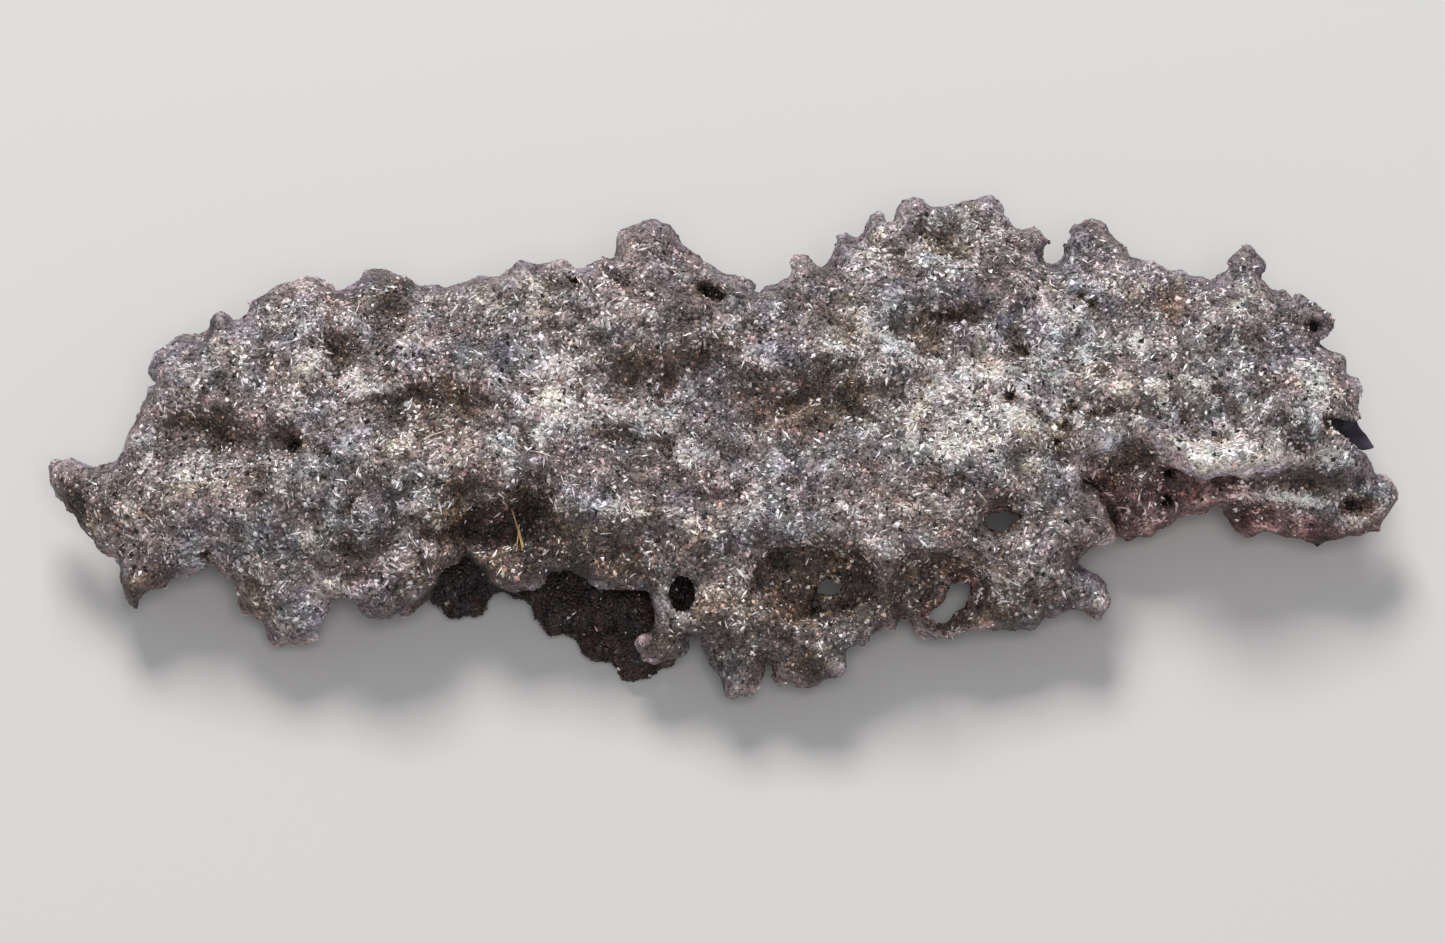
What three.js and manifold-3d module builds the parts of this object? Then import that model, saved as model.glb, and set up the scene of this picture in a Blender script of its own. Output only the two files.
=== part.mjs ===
// A sand fulgurite: a crust of sand that lightning fused into one glassy, knobbly lump.
// It is a flattened, crumpled tube. A ragged upper sheet lies over a lumpy belly, its front
// skirt hangs free and is pierced by holes, and its flattened bore opens at the right end.
//
// The lump is worked out in a slab frame that lies in the upper sheet, in millimetres:
// u runs to the right along the length, v runs across the sheet towards its back edge and
// w rises out of the upper face. placeOnGround() turns that frame into the part's own frame:
// +X along the length, +Y towards the back, +Z up, origin on the ground under the middle.
import * as THREE from "three";
import { edgeTable, triTable } from "three/addons/objects/MarchingCubes.js";
import { mergeVertices } from "three/addons/utils/BufferGeometryUtils.js";
import Module from "manifold-3d";

const wasm = await Module();
wasm.setup();

// ---------------------------------------------------------------- driving sizes, mm
const SLAB_LEAN = THREE.MathUtils.degToRad(24); // slab frame against the ground, back edge up
const SLAB_HEIGHT = 12; // slab origin above the ground
const CENTRE_SHIFT_X = 0.21; // moves the slab origin so that the box is centred on the origin
const CENTRE_SHIFT_Y = -2.23;

const CELL = 1.65; // pitch of the grid on which the surface is found
const GRID_LOW = new THREE.Vector3(-57, -23, -21);
const GRID_HIGH = new THREE.Vector3(58, 23, 7);
const EDGE_CLEARANCE = 0.08; // share of a cell kept between a vertex and the grid's corners

const SHEET_HALF = 1.5; // half the thickness of a fused sheet
const SHEET_SWELL = 0.1; // how far the sheets' skin stands out of their outlines
const BLEND = 2.2; // radius of the fillet where two masses fuse
const KEEL_BLEND = 1.2; // the same where a keel meets the sheet
const SHEET_BLEND = 1; // the same where two sheets meet
const BELLY_BLEND = 1.5; // radius of the belly's upper edge
const BELLY_LOW = 3.2; // the belly's underside above the ground
const BELLY_ROUND = 6; // how far in from its outline the belly reaches its full depth
const RIM_REACH = 4.5; // the rim curls within this distance of the outline
const RIM_DROOP = 1.2; // how far the rim hangs on the whole

// The upper sheet's arch: it falls from its crest line to its back edge, skirt and ends.
const ARCH = {
  crest: 0.9, backFrom: -5, backSlope: 0.27, backCurve: 0.004,
  skirtFrom: -10, skirtSlope: 0.12, leftFrom: -30, rightFrom: 38, endCurve: 0.006,
};
// The lower sheet is deep in the recess and rises to the right wing between two values of u.
const RECESS_W = -5.6;
const WING = { rise: 2, from: 36, to: 48 };
// The belly's underside lifts off the ground towards both ends, between two distances from the middle.
const END_LIFT = { left: 3.5, right: 1.5, from: 28, to: 52 };
// The keels' middle: its w, and how it climbs towards the front.
const KEEL = { w: -6.9, from: -9, slope: 0.28 };

// Layers of knobs and dents: how far they rise, and about how far apart they lie. A layer on a
// sheet also has the level at which it cuts the lumps.
const LAYERS = {
  sheetBend: { rise: 1.5, size: 13, level: 0 },
  rimCurl: { rise: 1.8, size: 5, level: 4 },
  sheetKnobs: { rise: 0.5, size: 3.8, level: 8 },
  recess: { rise: 1.2, size: 4, level: 9 },
  undersideBulges: { rise: 2.2, size: 6, level: 21 },
  undersideKnobs: { rise: 1, size: 3, level: 30 },
  bellyWall: { rise: 1.6, size: 4.5 },
  bellyKnobs: { rise: 0.9, size: 2.6 },
  sheetSkin: { rise: 0.25, size: 2.6 },
};
// The sheet's knobs are round with creases between them, which are this high and deep as a share
// of the layer's rise.
const KNOB_ROUND = 2.6;
const KNOB_CREASE = 0.8;

// The corners of a grid cell, and the pairs of them that its edges join.
const CORNERS = [
  [0, 0, 0], [1, 0, 0], [1, 1, 0], [0, 1, 0], [0, 0, 1], [1, 0, 1], [1, 1, 1], [0, 1, 1],
];
const EDGES = [
  [0, 1], [1, 2], [2, 3], [3, 0], [4, 5], [5, 6], [6, 7], [7, 4], [0, 4], [1, 5], [2, 6], [3, 7],
];

// ---------------------------------------------------------------- outlines, [u, v] in mm
const LEFT_TIP = [
  [-52.6, -7.0], [-53.3, -5.6], [-54.6, -4.2], [-55.3, -2.9], [-54.9, -1.7], [-54.0, -1.2],
  [-52.8, -1.5], [-51.2, -1.8], [-49.7, -1.5], [-48.9, 0.7], [-47.4, 2.8], [-46.7, 4.3],
  [-46.9, 5.6], [-46.9, 7.0],
];
const TOP_LEFT_EDGE = [
  [-45.4, 8.8], [-44.4, 8.9], [-43.5, 8.5], [-42.2, 9.5], [-41.9, 10.5], [-41.2, 10.8],
  [-40.3, 9.9], [-39.2, 10.4], [-38.8, 12.0], [-37.2, 12.9], [-34.0, 13.8], [-32.6, 13.0], [-31.4, 12.8],
  [-30.2, 13.4], [-29.6, 14.1], [-27.2, 14.4], [-25.8, 14.2], [-25.3, 13.1], [-23.3, 12.9], [-21.0, 13.5],
  [-19.8, 14.0], [-18.2, 13.9], [-16.7, 15.1], [-15.5, 14.6], [-14.4, 15.1], [-13.0, 15.2],
  [-11.4, 14.5], [-10.2, 15.8], [-9.0, 15.5], [-8.5, 17.4], [-7.0, 18.3], [-5.2, 18.6],
  [-4.0, 17.4], [-2.9, 16.2], [-1.3, 14.9], [0.3, 13.8],
];
const TOP_RIGHT_EDGE = [
  [1.3, 13.2], [2.5, 12.4], [4.2, 13.1], [5.4, 14.1], [5.9, 15.6], [6.7, 15.6],
  [7.2, 14.8], [8.2, 14.6], [8.9, 15.8], [9.3, 17.0], [10.1, 17.5], [10.9, 17.1],
  [12.0, 18.6], [13.0, 19.0], [13.9, 18.3], [14.7, 20.0], [15.7, 20.4], [16.7, 19.9],
  [18.0, 19.9], [20.2, 20.4], [22.4, 21.0], [23.2, 19.6], [24.2, 18.3], [25.8, 18.1],
  [26.7, 17.1], [26.7, 15.2], [27.9, 15.1], [28.5, 16.7], [28.7, 17.9], [29.5, 18.5],
  [30.8, 18.5], [31.9, 17.9], [32.5, 16.8], [33.2, 15.8], [34.8, 15.3], [37.0, 14.5],
  [38.5, 14.0], [41.0, 13.7], [41.8, 14.4], [42.0, 15.5], [42.8, 16.1], [43.8, 16.0],
  [44.4, 15.2], [44.4, 13.6], [45.4, 12.6], [47.0, 11.8],
];
const RIGHT_END = [
  [48.6, 10.0], [48.9, 8.7], [49.8, 7.7], [51.2, 6.8], [51.5, 5.7], [52.5, 4.8], [52.4, 3.6],
  [52.5, 2.5], [52.9, 0.8], [53.2, -0.2], [52.4, -0.5], [52.7, -1.5], [53.1, -2.7],
];
const LIP_EDGE = [
  [50.0, -2.6], [47.0, -2.4], [44.3, -2.2], [41.5, -2.5], [39.2, -2.9], [38.2, -2.7],
  [36.8, -1.0], [35.6, 0.0], [34.2, 0.8], [33.0, 0.7], [31.6, 0.0], [30.2, -0.5], [29.2, -1.6],
];
const SKIRT_EDGE = [
  [29.2, -2.8], [29.7, -4.0], [31.0, -5.2], [31.9, -6.9], [30.9, -8.4], [29.7, -9.0],
  [29.3, -10.0], [30.6, -11.2], [31.4, -12.6], [31.3, -13.7], [30.1, -14.0], [28.5, -13.4], [26.8, -13.8],
  [25.2, -14.8], [23.0, -15.1], [20.3, -15.4], [17.5, -15.8], [16.1, -15.4], [15.2, -14.3],
  [14.5, -13.5], [13.9, -14.7], [12.8, -14.6], [12.1, -15.9], [9.9, -17.0], [9.6, -18.4],
  [7.7, -19.5], [5.6, -19.5], [4.6, -18.8], [4.2, -17.7], [3.5, -17.4], [3.0, -18.6],
  [2.4, -20.0], [0.4, -20.8], [-0.5, -19.2], [-1.5, -17.2], [-1.9, -15.7], [-2.9, -15.9],
  [-3.8, -17.3], [-5.2, -17.4], [-6.7, -17.3], [-7.1, -16.2], [-5.5, -14.9], [-5.7, -12.8],
];
const FRONT_LEFT_EDGE = [
  [-6.6, -11.8], [-8.4, -11.6], [-10.2, -11.0], [-12.5, -10.2], [-14.4, -10.3], [-15.8, -11.8],
  [-18.6, -11.5], [-20.0, -10.0], [-21.5, -9.1], [-22.7, -10.3], [-23.8, -12.1], [-25.4, -13.1],
  [-26.6, -13.8], [-28.2, -14.2], [-29.4, -13.4], [-30.7, -12.5], [-32.6, -12.3], [-32.5, -13.8],
  [-33.3, -15.5], [-35.1, -16.2], [-37.0, -16.4], [-37.5, -14.8], [-39.0, -13.8], [-39.5, -11.6],
  [-40.7, -10.6], [-42.3, -9.9], [-43.5, -10.5], [-45.0, -10.3], [-46.1, -11.7], [-47.4, -12.1],
  [-48.2, -13.4], [-49.0, -12.7], [-49.4, -10.6], [-50.3, -8.9], [-51.7, -8.2],
];
const UPPER_SHEET_OUTLINE = [
  ...LEFT_TIP, ...TOP_LEFT_EDGE, ...TOP_RIGHT_EDGE, ...RIGHT_END,
  ...LIP_EDGE, ...SKIRT_EDGE, ...FRONT_LEFT_EDGE,
];
// The lower sheet shows below the lip at the right: a recessed wall, then the right wing.
const LOWER_SHEET_OUTLINE = [
  [29.0, -3.5], [31.9, -7.0], [33.2, -7.7], [34.5, -7.6], [36.3, -6.9], [37.9, -5.5],
  [39.3, -5.5], [40.7, -5.0], [41.4, -5.7], [42.3, -7.2], [43.2, -7.6], [44.2, -7.2],
  [46.2, -7.1], [48.3, -7.8], [49.4, -8.0], [50.4, -7.6], [52.0, -7.5], [53.4, -6.9],
  [54.2, -5.7], [55.3, -4.4], [54.9, -2.7], [53.4, -2.2], [52.0, 1.0], [48.0, 4.0],
  [40.0, 5.0], [30.0, 4.0],
];
const BELLY_OUTLINE = [
  [-49.5, -6.0], [-48.5, -3.0], [-45.0, 3.0], [-40.0, 7.5], [-30.0, 10.5], [-18.0, 11.0],
  [-6.0, 12.5], [6.0, 11.0], [16.0, 16.0], [24.0, 15.0], [36.0, 11.5], [46.0, 8.5],
  [50.5, 3.0], [49.5, 0.0], [44.0, -0.4], [40.5, -0.8], [37.5, 0.2], [35.0, 2.0],
  [31.5, 2.4], [28.0, 0.0], [26.0, -3.0], [20.0, -3.0], [8.0, -5.5],
  [-1.0, -9.0], [-6.0, -9.5], [-14.0, -9.0], [-24.0, -8.5], [-34.0, -9.5], [-42.0, -8.0],
  [-46.5, -9.0],
];
const FRONT_KEEL_OUTLINE = [
  [-16.5, -7.5], [-16.0, -12.5], [-15.2, -14.0], [-14.5, -15.2], [-12.9, -15.0],
  [-12.1, -15.6], [-11.4, -16.9], [-10.3, -17.7], [-9.0, -17.8], [-8.0, -18.9],
  [-6.6, -19.0], [-5.3, -18.2], [-4.2, -17.4], [-3.4, -15.0], [-1.9, -13.6], [-1.8, -9.0],
];
const LEFT_KEEL_OUTLINE = [
  [-25.5, -7.5], [-24.0, -12.3], [-23.2, -13.7], [-21.5, -14.1], [-20.0, -13.9],
  [-19.3, -12.4], [-16.0, -12.1], [-14.5, -8.0],
];

// ---------------------------------------------------------------- relief of the upper face
// Humps and hollows: [u, v, radius along u, radius along v, height], height below 0 for a hollow.
const RELIEF = [
  [-44.5, 4.8, 3.2, 2.6, 1.0], [-43.0, 0.6, 4.0, 2.0, -1.0], [-41.5, -4.8, 5.5, 2.2, 1.2],
  [-51.0, -2.6, 3.0, 1.4, 0.6], [-35.0, -0.2, 1.8, 0.8, -0.8], [-36.5, 2.8, 3.0, 1.5, 0.7],
  [-34.5, -3.6, 2.2, 1.8, 0.8], [-31.2, 8.0, 2.2, 2.0, -0.4], [-31.0, 10.6, 3.0, 1.8, 1.0],
  [-26.6, 10.9, 1.4, 1.3, -0.8], [-24.0, 7.4, 4.5, 1.7, 1.2], [-25.0, 2.4, 4.6, 2.3, -1.4],
  [-19.5, 6.5, 2.5, 2.5, 0.8], [-28.0, -2.0, 4.0, 1.8, 0.6], [-22.0, -1.8, 4.0, 1.5, 0.9],
  [-18.8, -7.0, 3.6, 2.2, -1.9], [-15.7, -5.2, 2.0, 1.6, -1.5], [-13.0, -1.5, 4.0, 2.0, 0.8],
  [-8.5, 0.6, 1.6, 1.2, -1.1], [-6.5, 10.5, 4.0, 2.2, 1.6], [-6.0, 5.0, 4.5, 2.0, -1.1],
  [-2.5, 8.8, 1.8, 1.2, 0.6], [-5.5, 17.6, 2.2, 1.4, 0.8], [-5.3, 15.5, 2.0, 1.0, -0.8],
  [8.5, 3.4, 6.0, 2.6, -1.0], [21.0, -0.8, 4.0, 3.0, 1.5], [20.5, 13.2, 4.5, 2.2, 1.4],
  [21.0, 9.2, 2.2, 1.0, 0.7], [20.0, 7.4, 3.5, 1.4, -0.9], [18.5, 10.6, 2.4, 0.8, -0.6],
  [24.0, 12.5, 2.0, 1.6, 0.5], [18.0, 16.6, 2.8, 1.2, -1.0], [13.0, 12.0, 2.5, 2.5, 0.8],
  [31.2, 2.2, 2.6, 0.9, -0.6], [31.0, 4.6, 3.5, 1.2, 0.9], [36.7, 11.5, 1.0, 3.0, -0.9],
  [33.5, 11.5, 2.2, 3.0, 0.6], [40.0, 10.5, 2.2, 3.0, 0.8], [44.8, 7.5, 2.0, 2.5, -0.8],
  [47.5, 2.8, 4.0, 1.8, 1.1], [40.0, 3.5, 3.0, 2.0, -0.7], [22.8, -5.9, 1.9, 1.4, -1.3],
  [13.2, -11.5, 1.2, 2.5, 0.9], [17.2, -2.7, 1.8, 1.2, -0.9], [-36.0, -13.0, 2.5, 2.5, 0.6],
  [1.5, -16.0, 1.6, 3.0, 0.7], [16.8, -7.6, 1.4, 1.1, 0.8], [19.2, -6.7, 1.0, 0.8, -0.7],
  [11.2, -7.6, 1.6, 1.2, 0.6], [2.5, -5.9, 1.5, 1.1, 0.7], [7.8, -13.0, 4.0, 3.0, -1.0],
];
// Bowls with steep walls and a flat floor: [u, v, radius along u, radius along v, depth].
const BOWLS = [
  [7.4, -10.9, 4.7, 3.3, 2.3], [17.9, -11.9, 3.9, 3.1, 2.4], [-18.6, -6.6, 3.2, 1.9, 1.3],
  [-24.6, 3.4, 4.0, 1.7, 0.8],
];
// Rolled ridges that run along the upper face: the points of their crests, their rise and reach.
const RIDGES = [
  { crest: [[-13.5, -4.8], [-9.0, -5.6], [-4.0, -6.2]], rise: 0.9, reach: 1.7 },
  { crest: [[3.5, 6.8], [9.0, 7.0], [14.5, 6.6]], rise: 0.6, reach: 2.1 },
  {
    crest: [
      [1.0, -6.4], [4.5, -6.0], [8.0, -7.0],
      [11.0, -8.6], [13.2, -9.0],
    ],
    rise: 1.2,
    reach: 1.2,
  },
  {
    crest: [
      [13.5, -8.6], [16.0, -7.8], [18.5, -7.9],
      [21.0, -9.2], [24.0, -11.3],
    ],
    rise: 1.0,
    reach: 1.2,
  },
  {
    crest: [
      [30.0, -0.1], [33.5, 1.2], [36.0, 0.3], [38.5, -1.5],
      [41.5, -1.6], [44.5, -1.1],
    ],
    rise: 2.3,
    reach: 1.25,
  },
];
// The same humps, hollows and ridges on the lower sheet.
const LOWER_RELIEF = [
  [29.9, -3.8, 0.8, 1.1, -2.6], [31.9, -5.9, 0.6, 1.0, -2.0], [42.8, -5.8, 1.5, 1.2, -1.6],
  [52.6, -4.9, 1.2, 0.9, -0.7], [34.5, -5.4, 2.0, 1.2, 0.8], [33.0, -3.0, 1.6, 1.2, 0.7],
];
const LOWER_RIDGES = [
  {
    crest: [
      [37.5, -5.0], [40.0, -4.5], [42.5, -4.2],
      [45.5, -4.3], [49.5, -4.9],
    ],
    rise: 1.0,
    reach: 0.9,
  },
  { crest: [[50.5, -6.6], [52.6, -6.2], [54.3, -5.4]], rise: 0.9, reach: 0.6 },
];

// ---------------------------------------------------------------- holes, bore and feet
// Holes right through the skirt: [u, v, radius along u, radius along v, turn in degrees].
const SKIRT_HOLES = [[8.9, -11.4, 1.5, 0.85, 20], [22.6, -6.0, 1.25, 0.95, 0]];
// A bent tear through the skirt.
const SKIRT_TEAR = [
  [18.8, -11.3], [20.4, -11.4], [20.4, -12.7], [19.5, -13.7], [18.4, -14.6], [17.1, -14.6],
  [16.8, -13.8], [17.5, -13.0], [18.2, -12.3],
];
const HOLE_EASE = 0.25; // how far the edges of the holes and of the tear are worn back
const HOLE_FLOOR = -9; // the holes go no lower than this w
// This hole only opens on the keel that lies below the sheet.
const KEEL_HOLE = [-3.4, -12.1, 1.2, 1.65, 0];
const KEEL_HOLE_FLOOR = -4.6;
const BACK_PIT = [-1.0, 12.5, 1.4, 0.9, -25];
const BACK_PIT_DEPTH = 0.7;
// The flattened bore, from its mouth at the right end to where it pinches out: [u, v, w].
const BORE = [
  [57.0, 0.6, -4.4], [50.0, 1.0, -4.9], [40.0, 2.0, -6.8], [24.0, 2.5, -8.2],
  [8.0, 0.0, -7.8], [-2.0, -3.0, -7.4],
];
const BORE_HALF_WIDTH = 3.2;
const BORE_HALF_HEIGHT = 1.5;
const BORE_ROUNDING = 0.8; // radius of the edge where the bore meets the crust
// The bore's glass lining stands out of a slot in the crust at the right end: corners, [u, v].
const LINING_OUTLINE = [
  [48.6, 3.0], [52.0, 2.4], [52.9, 1.0], [53.5, -0.2], [52.4, -0.7], [51.2, -0.1], [48.6, 1.0],
];
const LINING_W = -2.95; // w of the middle of the lining
const LINING_HALF = 0.5; // half its thickness
const SLOT = [
  [49.1, 2.3], [50.3, 2.25], [52.2, 2.0], [54.5, 1.8], [54.5, -0.8], [52.3, -0.5], [51.2, 0.1],
  [50.3, 0.9], [49.4, 1.6],
];
// The lump rests on four worn stumps: the top and the foot of each, [u, v, w], and their radii.
const STUMPS = [
  { top: [-44.5, -5.0, -2.5], foot: [-47.5, -10.1, -8.6], radii: [3.2, 1.8] },
  { top: [-9.0, -13.0, -6.6], foot: [-7.2, -17.0, -6.0], radii: [2.0, 2.2] },
  { top: [34.0, 2.0, -8.0], foot: [37.0, 2.5, -15.6], radii: [7.0, 3.4] },
  { top: [-24.0, 1.0, -7.0], foot: [-27.0, 3.0, -15.6], radii: [7.0, 2.8] },
];
// The curled knob behind the top right corner: [u, v, w, radius].
const REAR_KNOBS = [[47.6, 10.4, -5.6, 1.7], [48.7, 9.9, -5.0, 1.4]];

// ---------------------------------------------------------------- plane geometry
/** The closed outline as a smooth curve through its points, cut into short straight steps. */
function smoothOutline(points) {
  const steps = 4;
  const curve = new THREE.CatmullRomCurve3(
    points.map(([u, v]) => new THREE.Vector3(u, v, 0)),
    true,
    "centripetal",
  );
  return curve.getPoints(points.length * steps).slice(0, -1);
}

function distanceToStep(u, v, a, b) {
  const du = b.x - a.x;
  const dv = b.y - a.y;
  const along = ((u - a.x) * du + (v - a.y) * dv) / (du * du + dv * dv);
  const share = THREE.MathUtils.clamp(along, 0, 1);
  return Math.hypot(u - a.x - share * du, v - a.y - share * dv);
}

/** Distance to a closed outline, below 0 inside it. */
function signedDistance(u, v, outline) {
  let nearest = Infinity;
  let inside = false;
  outline.forEach((a, i) => {
    const b = outline[(i + 1) % outline.length];
    nearest = Math.min(nearest, distanceToStep(u, v, a, b));
    const straddles = a.y > v !== b.y > v;
    if (straddles && u < a.x + ((v - a.y) * (b.x - a.x)) / (b.y - a.y)) inside = !inside;
  });
  return inside ? -nearest : nearest;
}

function distanceToCrest(u, v, crest) {
  const points = crest.map(([cu, cv]) => new THREE.Vector2(cu, cv));
  const steps = points.slice(1).map((b, i) => distanceToStep(u, v, points[i], b));
  return Math.min(...steps);
}

/** Distance to an ellipse that is turned by some degrees, in mm near its rim. */
function distanceToEllipse(u, v, [cu, cv, ru, rv, turn]) {
  const angle = THREE.MathUtils.degToRad(turn);
  const du = (u - cu) * Math.cos(angle) + (v - cv) * Math.sin(angle);
  const dv = (v - cv) * Math.cos(angle) - (u - cu) * Math.sin(angle);
  return (Math.hypot(du / ru, dv / rv) - 1) * Math.min(ru, rv);
}

// ---------------------------------------------------------------- joining and cutting fields
const smoothMin = (a, b, k) => {
  const overlap = Math.max(k - Math.abs(a - b), 0) / k;
  return Math.min(a, b) - (overlap * overlap * k) / 4;
};
const smoothMax = (a, b, k) => -smoothMin(-a, -b, k);

/** A rounded plate: `side` is the distance to its outline, `off` the height off its middle. */
function plate(side, off, half) {
  return Math.hypot(Math.max(side + half, 0), off) - half;
}

/** A round stump between two points, [u, v, w], with a radius at each. */
function stump(p, from, to, radii) {
  const line = new THREE.Line3(new THREE.Vector3(...from), new THREE.Vector3(...to));
  const share = line.closestPointToPointParameter(p, true);
  const nearest = line.at(share, new THREE.Vector3());
  return nearest.distanceTo(p) - THREE.MathUtils.lerp(...radii, share);
}

// ---------------------------------------------------------------- the lump's own surfaces
/** A fixed scramble of three whole numbers, from -1 to 1. */
function scramble(i, j, k) {
  const mixed = Math.imul(i, 374761393) ^ Math.imul(j, 668265263) ^ Math.imul(k, 1442695041);
  const stirred = Math.imul(mixed ^ (mixed >>> 13), 1274126177);
  return ((stirred ^ (stirred >>> 16)) >>> 0) / 2 ** 31 - 1;
}

/** Lumps with one knob or dent about every `size` mm, from -1 to 1. */
function lumps(u, v, w, size) {
  const whole = [u, v, w].map((x) => Math.floor(x / size));
  const part = [u, v, w].map((x, n) => x / size - whole[n]);
  const ease = part.map((x) => x * x * (3 - 2 * x));
  let sum = 0;
  for (const [di, dj, dk] of CORNERS) {
    const shares = [di, dj, dk].map((far, n) => (far ? ease[n] : 1 - ease[n]));
    const value = scramble(whole[0] + di, whole[1] + dj, whole[2] + dk);
    sum += value * shares[0] * shares[1] * shares[2];
  }
  return sum;
}

/**
 * One of the layers of knobs and dents, at a point. Each layer is turned by an angle of its own,
 * so the layers never line up.
 */
function layer({ rise, size, level }, u, v, w = level) {
  const cos = Math.cos(size);
  const sin = Math.sin(size);
  return rise * lumps(u * cos - v * sin, u * sin + v * cos, w, size);
}

/** The sheet's round knobs, at a point. */
function sheetKnobs(u, v) {
  const { rise } = LAYERS.sheetKnobs;
  return KNOB_ROUND * Math.abs(layer(LAYERS.sheetKnobs, u, v)) - KNOB_CREASE * rise;
}

/** How far some humps, below 0 for hollows, and ridges raise a sheet at a point. */
function relief(humps, ridges, u, v) {
  let rise = 0;
  for (const [cu, cv, ru, rv, height] of humps) {
    rise += height * Math.exp(-(((u - cu) / ru) ** 2) - ((v - cv) / rv) ** 2);
  }
  for (const ridge of ridges) {
    rise += ridge.rise * Math.exp(-((distanceToCrest(u, v, ridge.crest) / ridge.reach) ** 2));
  }
  return rise;
}

/** How the whole sheet arches: it falls to its back edge, to its ends and to the skirt. */
function sheetArch(u, v) {
  const back = Math.max(v - ARCH.backFrom, 0);
  const skirt = Math.max(ARCH.skirtFrom - v, 0);
  const left = Math.max(ARCH.leftFrom - u, 0);
  const right = Math.max(u - ARCH.rightFrom, 0);
  const across = ARCH.crest - ARCH.backSlope * back - ARCH.backCurve * back ** 2;
  return across - ARCH.skirtSlope * skirt - ARCH.endCurve * (left ** 2 + right ** 2);
}

/** w of the middle of the upper sheet, `side` being the distance to its outline. */
function upperSheet(u, v, side) {
  const nearRim = THREE.MathUtils.clamp(1 + side / RIM_REACH, 0, 1) ** 2;
  let w = sheetArch(u, v) + layer(LAYERS.sheetBend, u, v) + sheetKnobs(u, v);
  w += nearRim * (layer(LAYERS.rimCurl, u, v) - RIM_DROOP);
  for (const [cu, cv, ru, rv, depth] of BOWLS) {
    w -= depth * Math.exp(-((((u - cu) / ru) ** 2 + ((v - cv) / rv) ** 2) ** 3));
  }
  return w + relief(RELIEF, RIDGES, u, v);
}

/** w of the middle of the lower sheet, which rises from the recess to the right wing. */
function lowerSheet(u, v) {
  const wing = WING.rise * THREE.MathUtils.smoothstep(u, WING.from, WING.to);
  return RECESS_W + wing + layer(LAYERS.recess, u, v) + relief(LOWER_RELIEF, LOWER_RIDGES, u, v);
}

/** w of the ground under a point of the slab frame. */
const ground = (v) => -(SLAB_HEIGHT + v * Math.sin(SLAB_LEAN)) / Math.cos(SLAB_LEAN);

/** w of the belly's underside: full depth in the middle, curving up to its outline. */
function bellyUnderside(u, v, side) {
  const inward = THREE.MathUtils.clamp(-side / BELLY_ROUND, 0, 1);
  const depthShare = Math.sqrt(1 - (1 - inward) ** 2);
  const towardsEnd = THREE.MathUtils.smoothstep(Math.abs(u), END_LIFT.from, END_LIFT.to);
  const lift = towardsEnd * (u < 0 ? END_LIFT.left : END_LIFT.right);
  const knobs = layer(LAYERS.undersideBulges, u, v) + layer(LAYERS.undersideKnobs, u, v);
  return THREE.MathUtils.lerp(sheetArch(u, v), ground(v) + BELLY_LOW + lift + knobs, depthShare);
}

/** The bore: a chain of flattened stumps. */
function boreDistance(p) {
  const flatten = BORE_HALF_HEIGHT / BORE_HALF_WIDTH;
  const squashed = new THREE.Vector3(p.x * flatten, p.y * flatten, p.z);
  const route = BORE.map(([u, v, w]) => [u * flatten, v * flatten, w]);
  const radii = [BORE_HALF_HEIGHT, BORE_HALF_HEIGHT];
  return Math.min(...route.slice(1).map((to, i) => stump(squashed, route[i], to, radii)));
}

// ---------------------------------------------------------------- the whole lump as one field
const outlines = {
  upper: smoothOutline(UPPER_SHEET_OUTLINE),
  lower: smoothOutline(LOWER_SHEET_OUTLINE),
  belly: smoothOutline(BELLY_OUTLINE),
  frontKeel: smoothOutline(FRONT_KEEL_OUTLINE),
  leftKeel: smoothOutline(LEFT_KEEL_OUTLINE),
  lining: smoothOutline(LINING_OUTLINE),
  tear: smoothOutline(SKIRT_TEAR),
  slot: SLOT.map(([u, v]) => new THREE.Vector2(u, v)),
};

/** What depends only on u and v, worked out once for each column of the grid. */
function columnAt(u, v) {
  const side = {};
  for (const [name, outline] of Object.entries(outlines)) side[name] = signedDistance(u, v, outline);
  return {
    side,
    upper: upperSheet(u, v, side.upper),
    lower: lowerSheet(u, v),
    underside: bellyUnderside(u, v, side.belly),
    keel: KEEL.w - KEEL.slope * Math.min(v - KEEL.from, 0),
    hole: Math.min(side.tear, ...SKIRT_HOLES.map((hole) => distanceToEllipse(u, v, hole))),
    keelHole: distanceToEllipse(u, v, KEEL_HOLE),
    pit: distanceToEllipse(u, v, BACK_PIT),
  };
}

/** The belly with the stumps that it stands on. */
function bellyField(p, { side, upper, underside }) {
  const wall = side.belly + layer(LAYERS.bellyWall, p.x, p.y, p.z);
  let field = smoothMax(wall, Math.max(p.z - upper, underside - p.z), BELLY_BLEND);
  for (const { top, foot, radii } of STUMPS) {
    field = smoothMin(field, stump(p, top, foot, radii), BLEND);
  }
  return field + layer(LAYERS.bellyKnobs, p.x, p.y, p.z);
}

/** The two sheets, the keels under the front edge and the curled knob at the back. */
function sheetField(p, { side, upper, lower, keel }) {
  let field = plate(side.upper, p.z - upper, SHEET_HALF);
  field = smoothMin(field, plate(side.lower, p.z - lower, SHEET_HALF), SHEET_BLEND);
  field = smoothMin(field, plate(side.frontKeel, p.z - keel, SHEET_HALF), KEEL_BLEND);
  field = smoothMin(field, plate(side.leftKeel, p.z - keel, SHEET_HALF), KEEL_BLEND);
  for (const [u, v, w, radius] of REAR_KNOBS) {
    field = smoothMin(field, p.distanceTo(new THREE.Vector3(u, v, w)) - radius, SHEET_BLEND);
  }
  return field - SHEET_SWELL + layer(LAYERS.sheetSkin, p.x, p.y, p.z);
}

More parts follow.
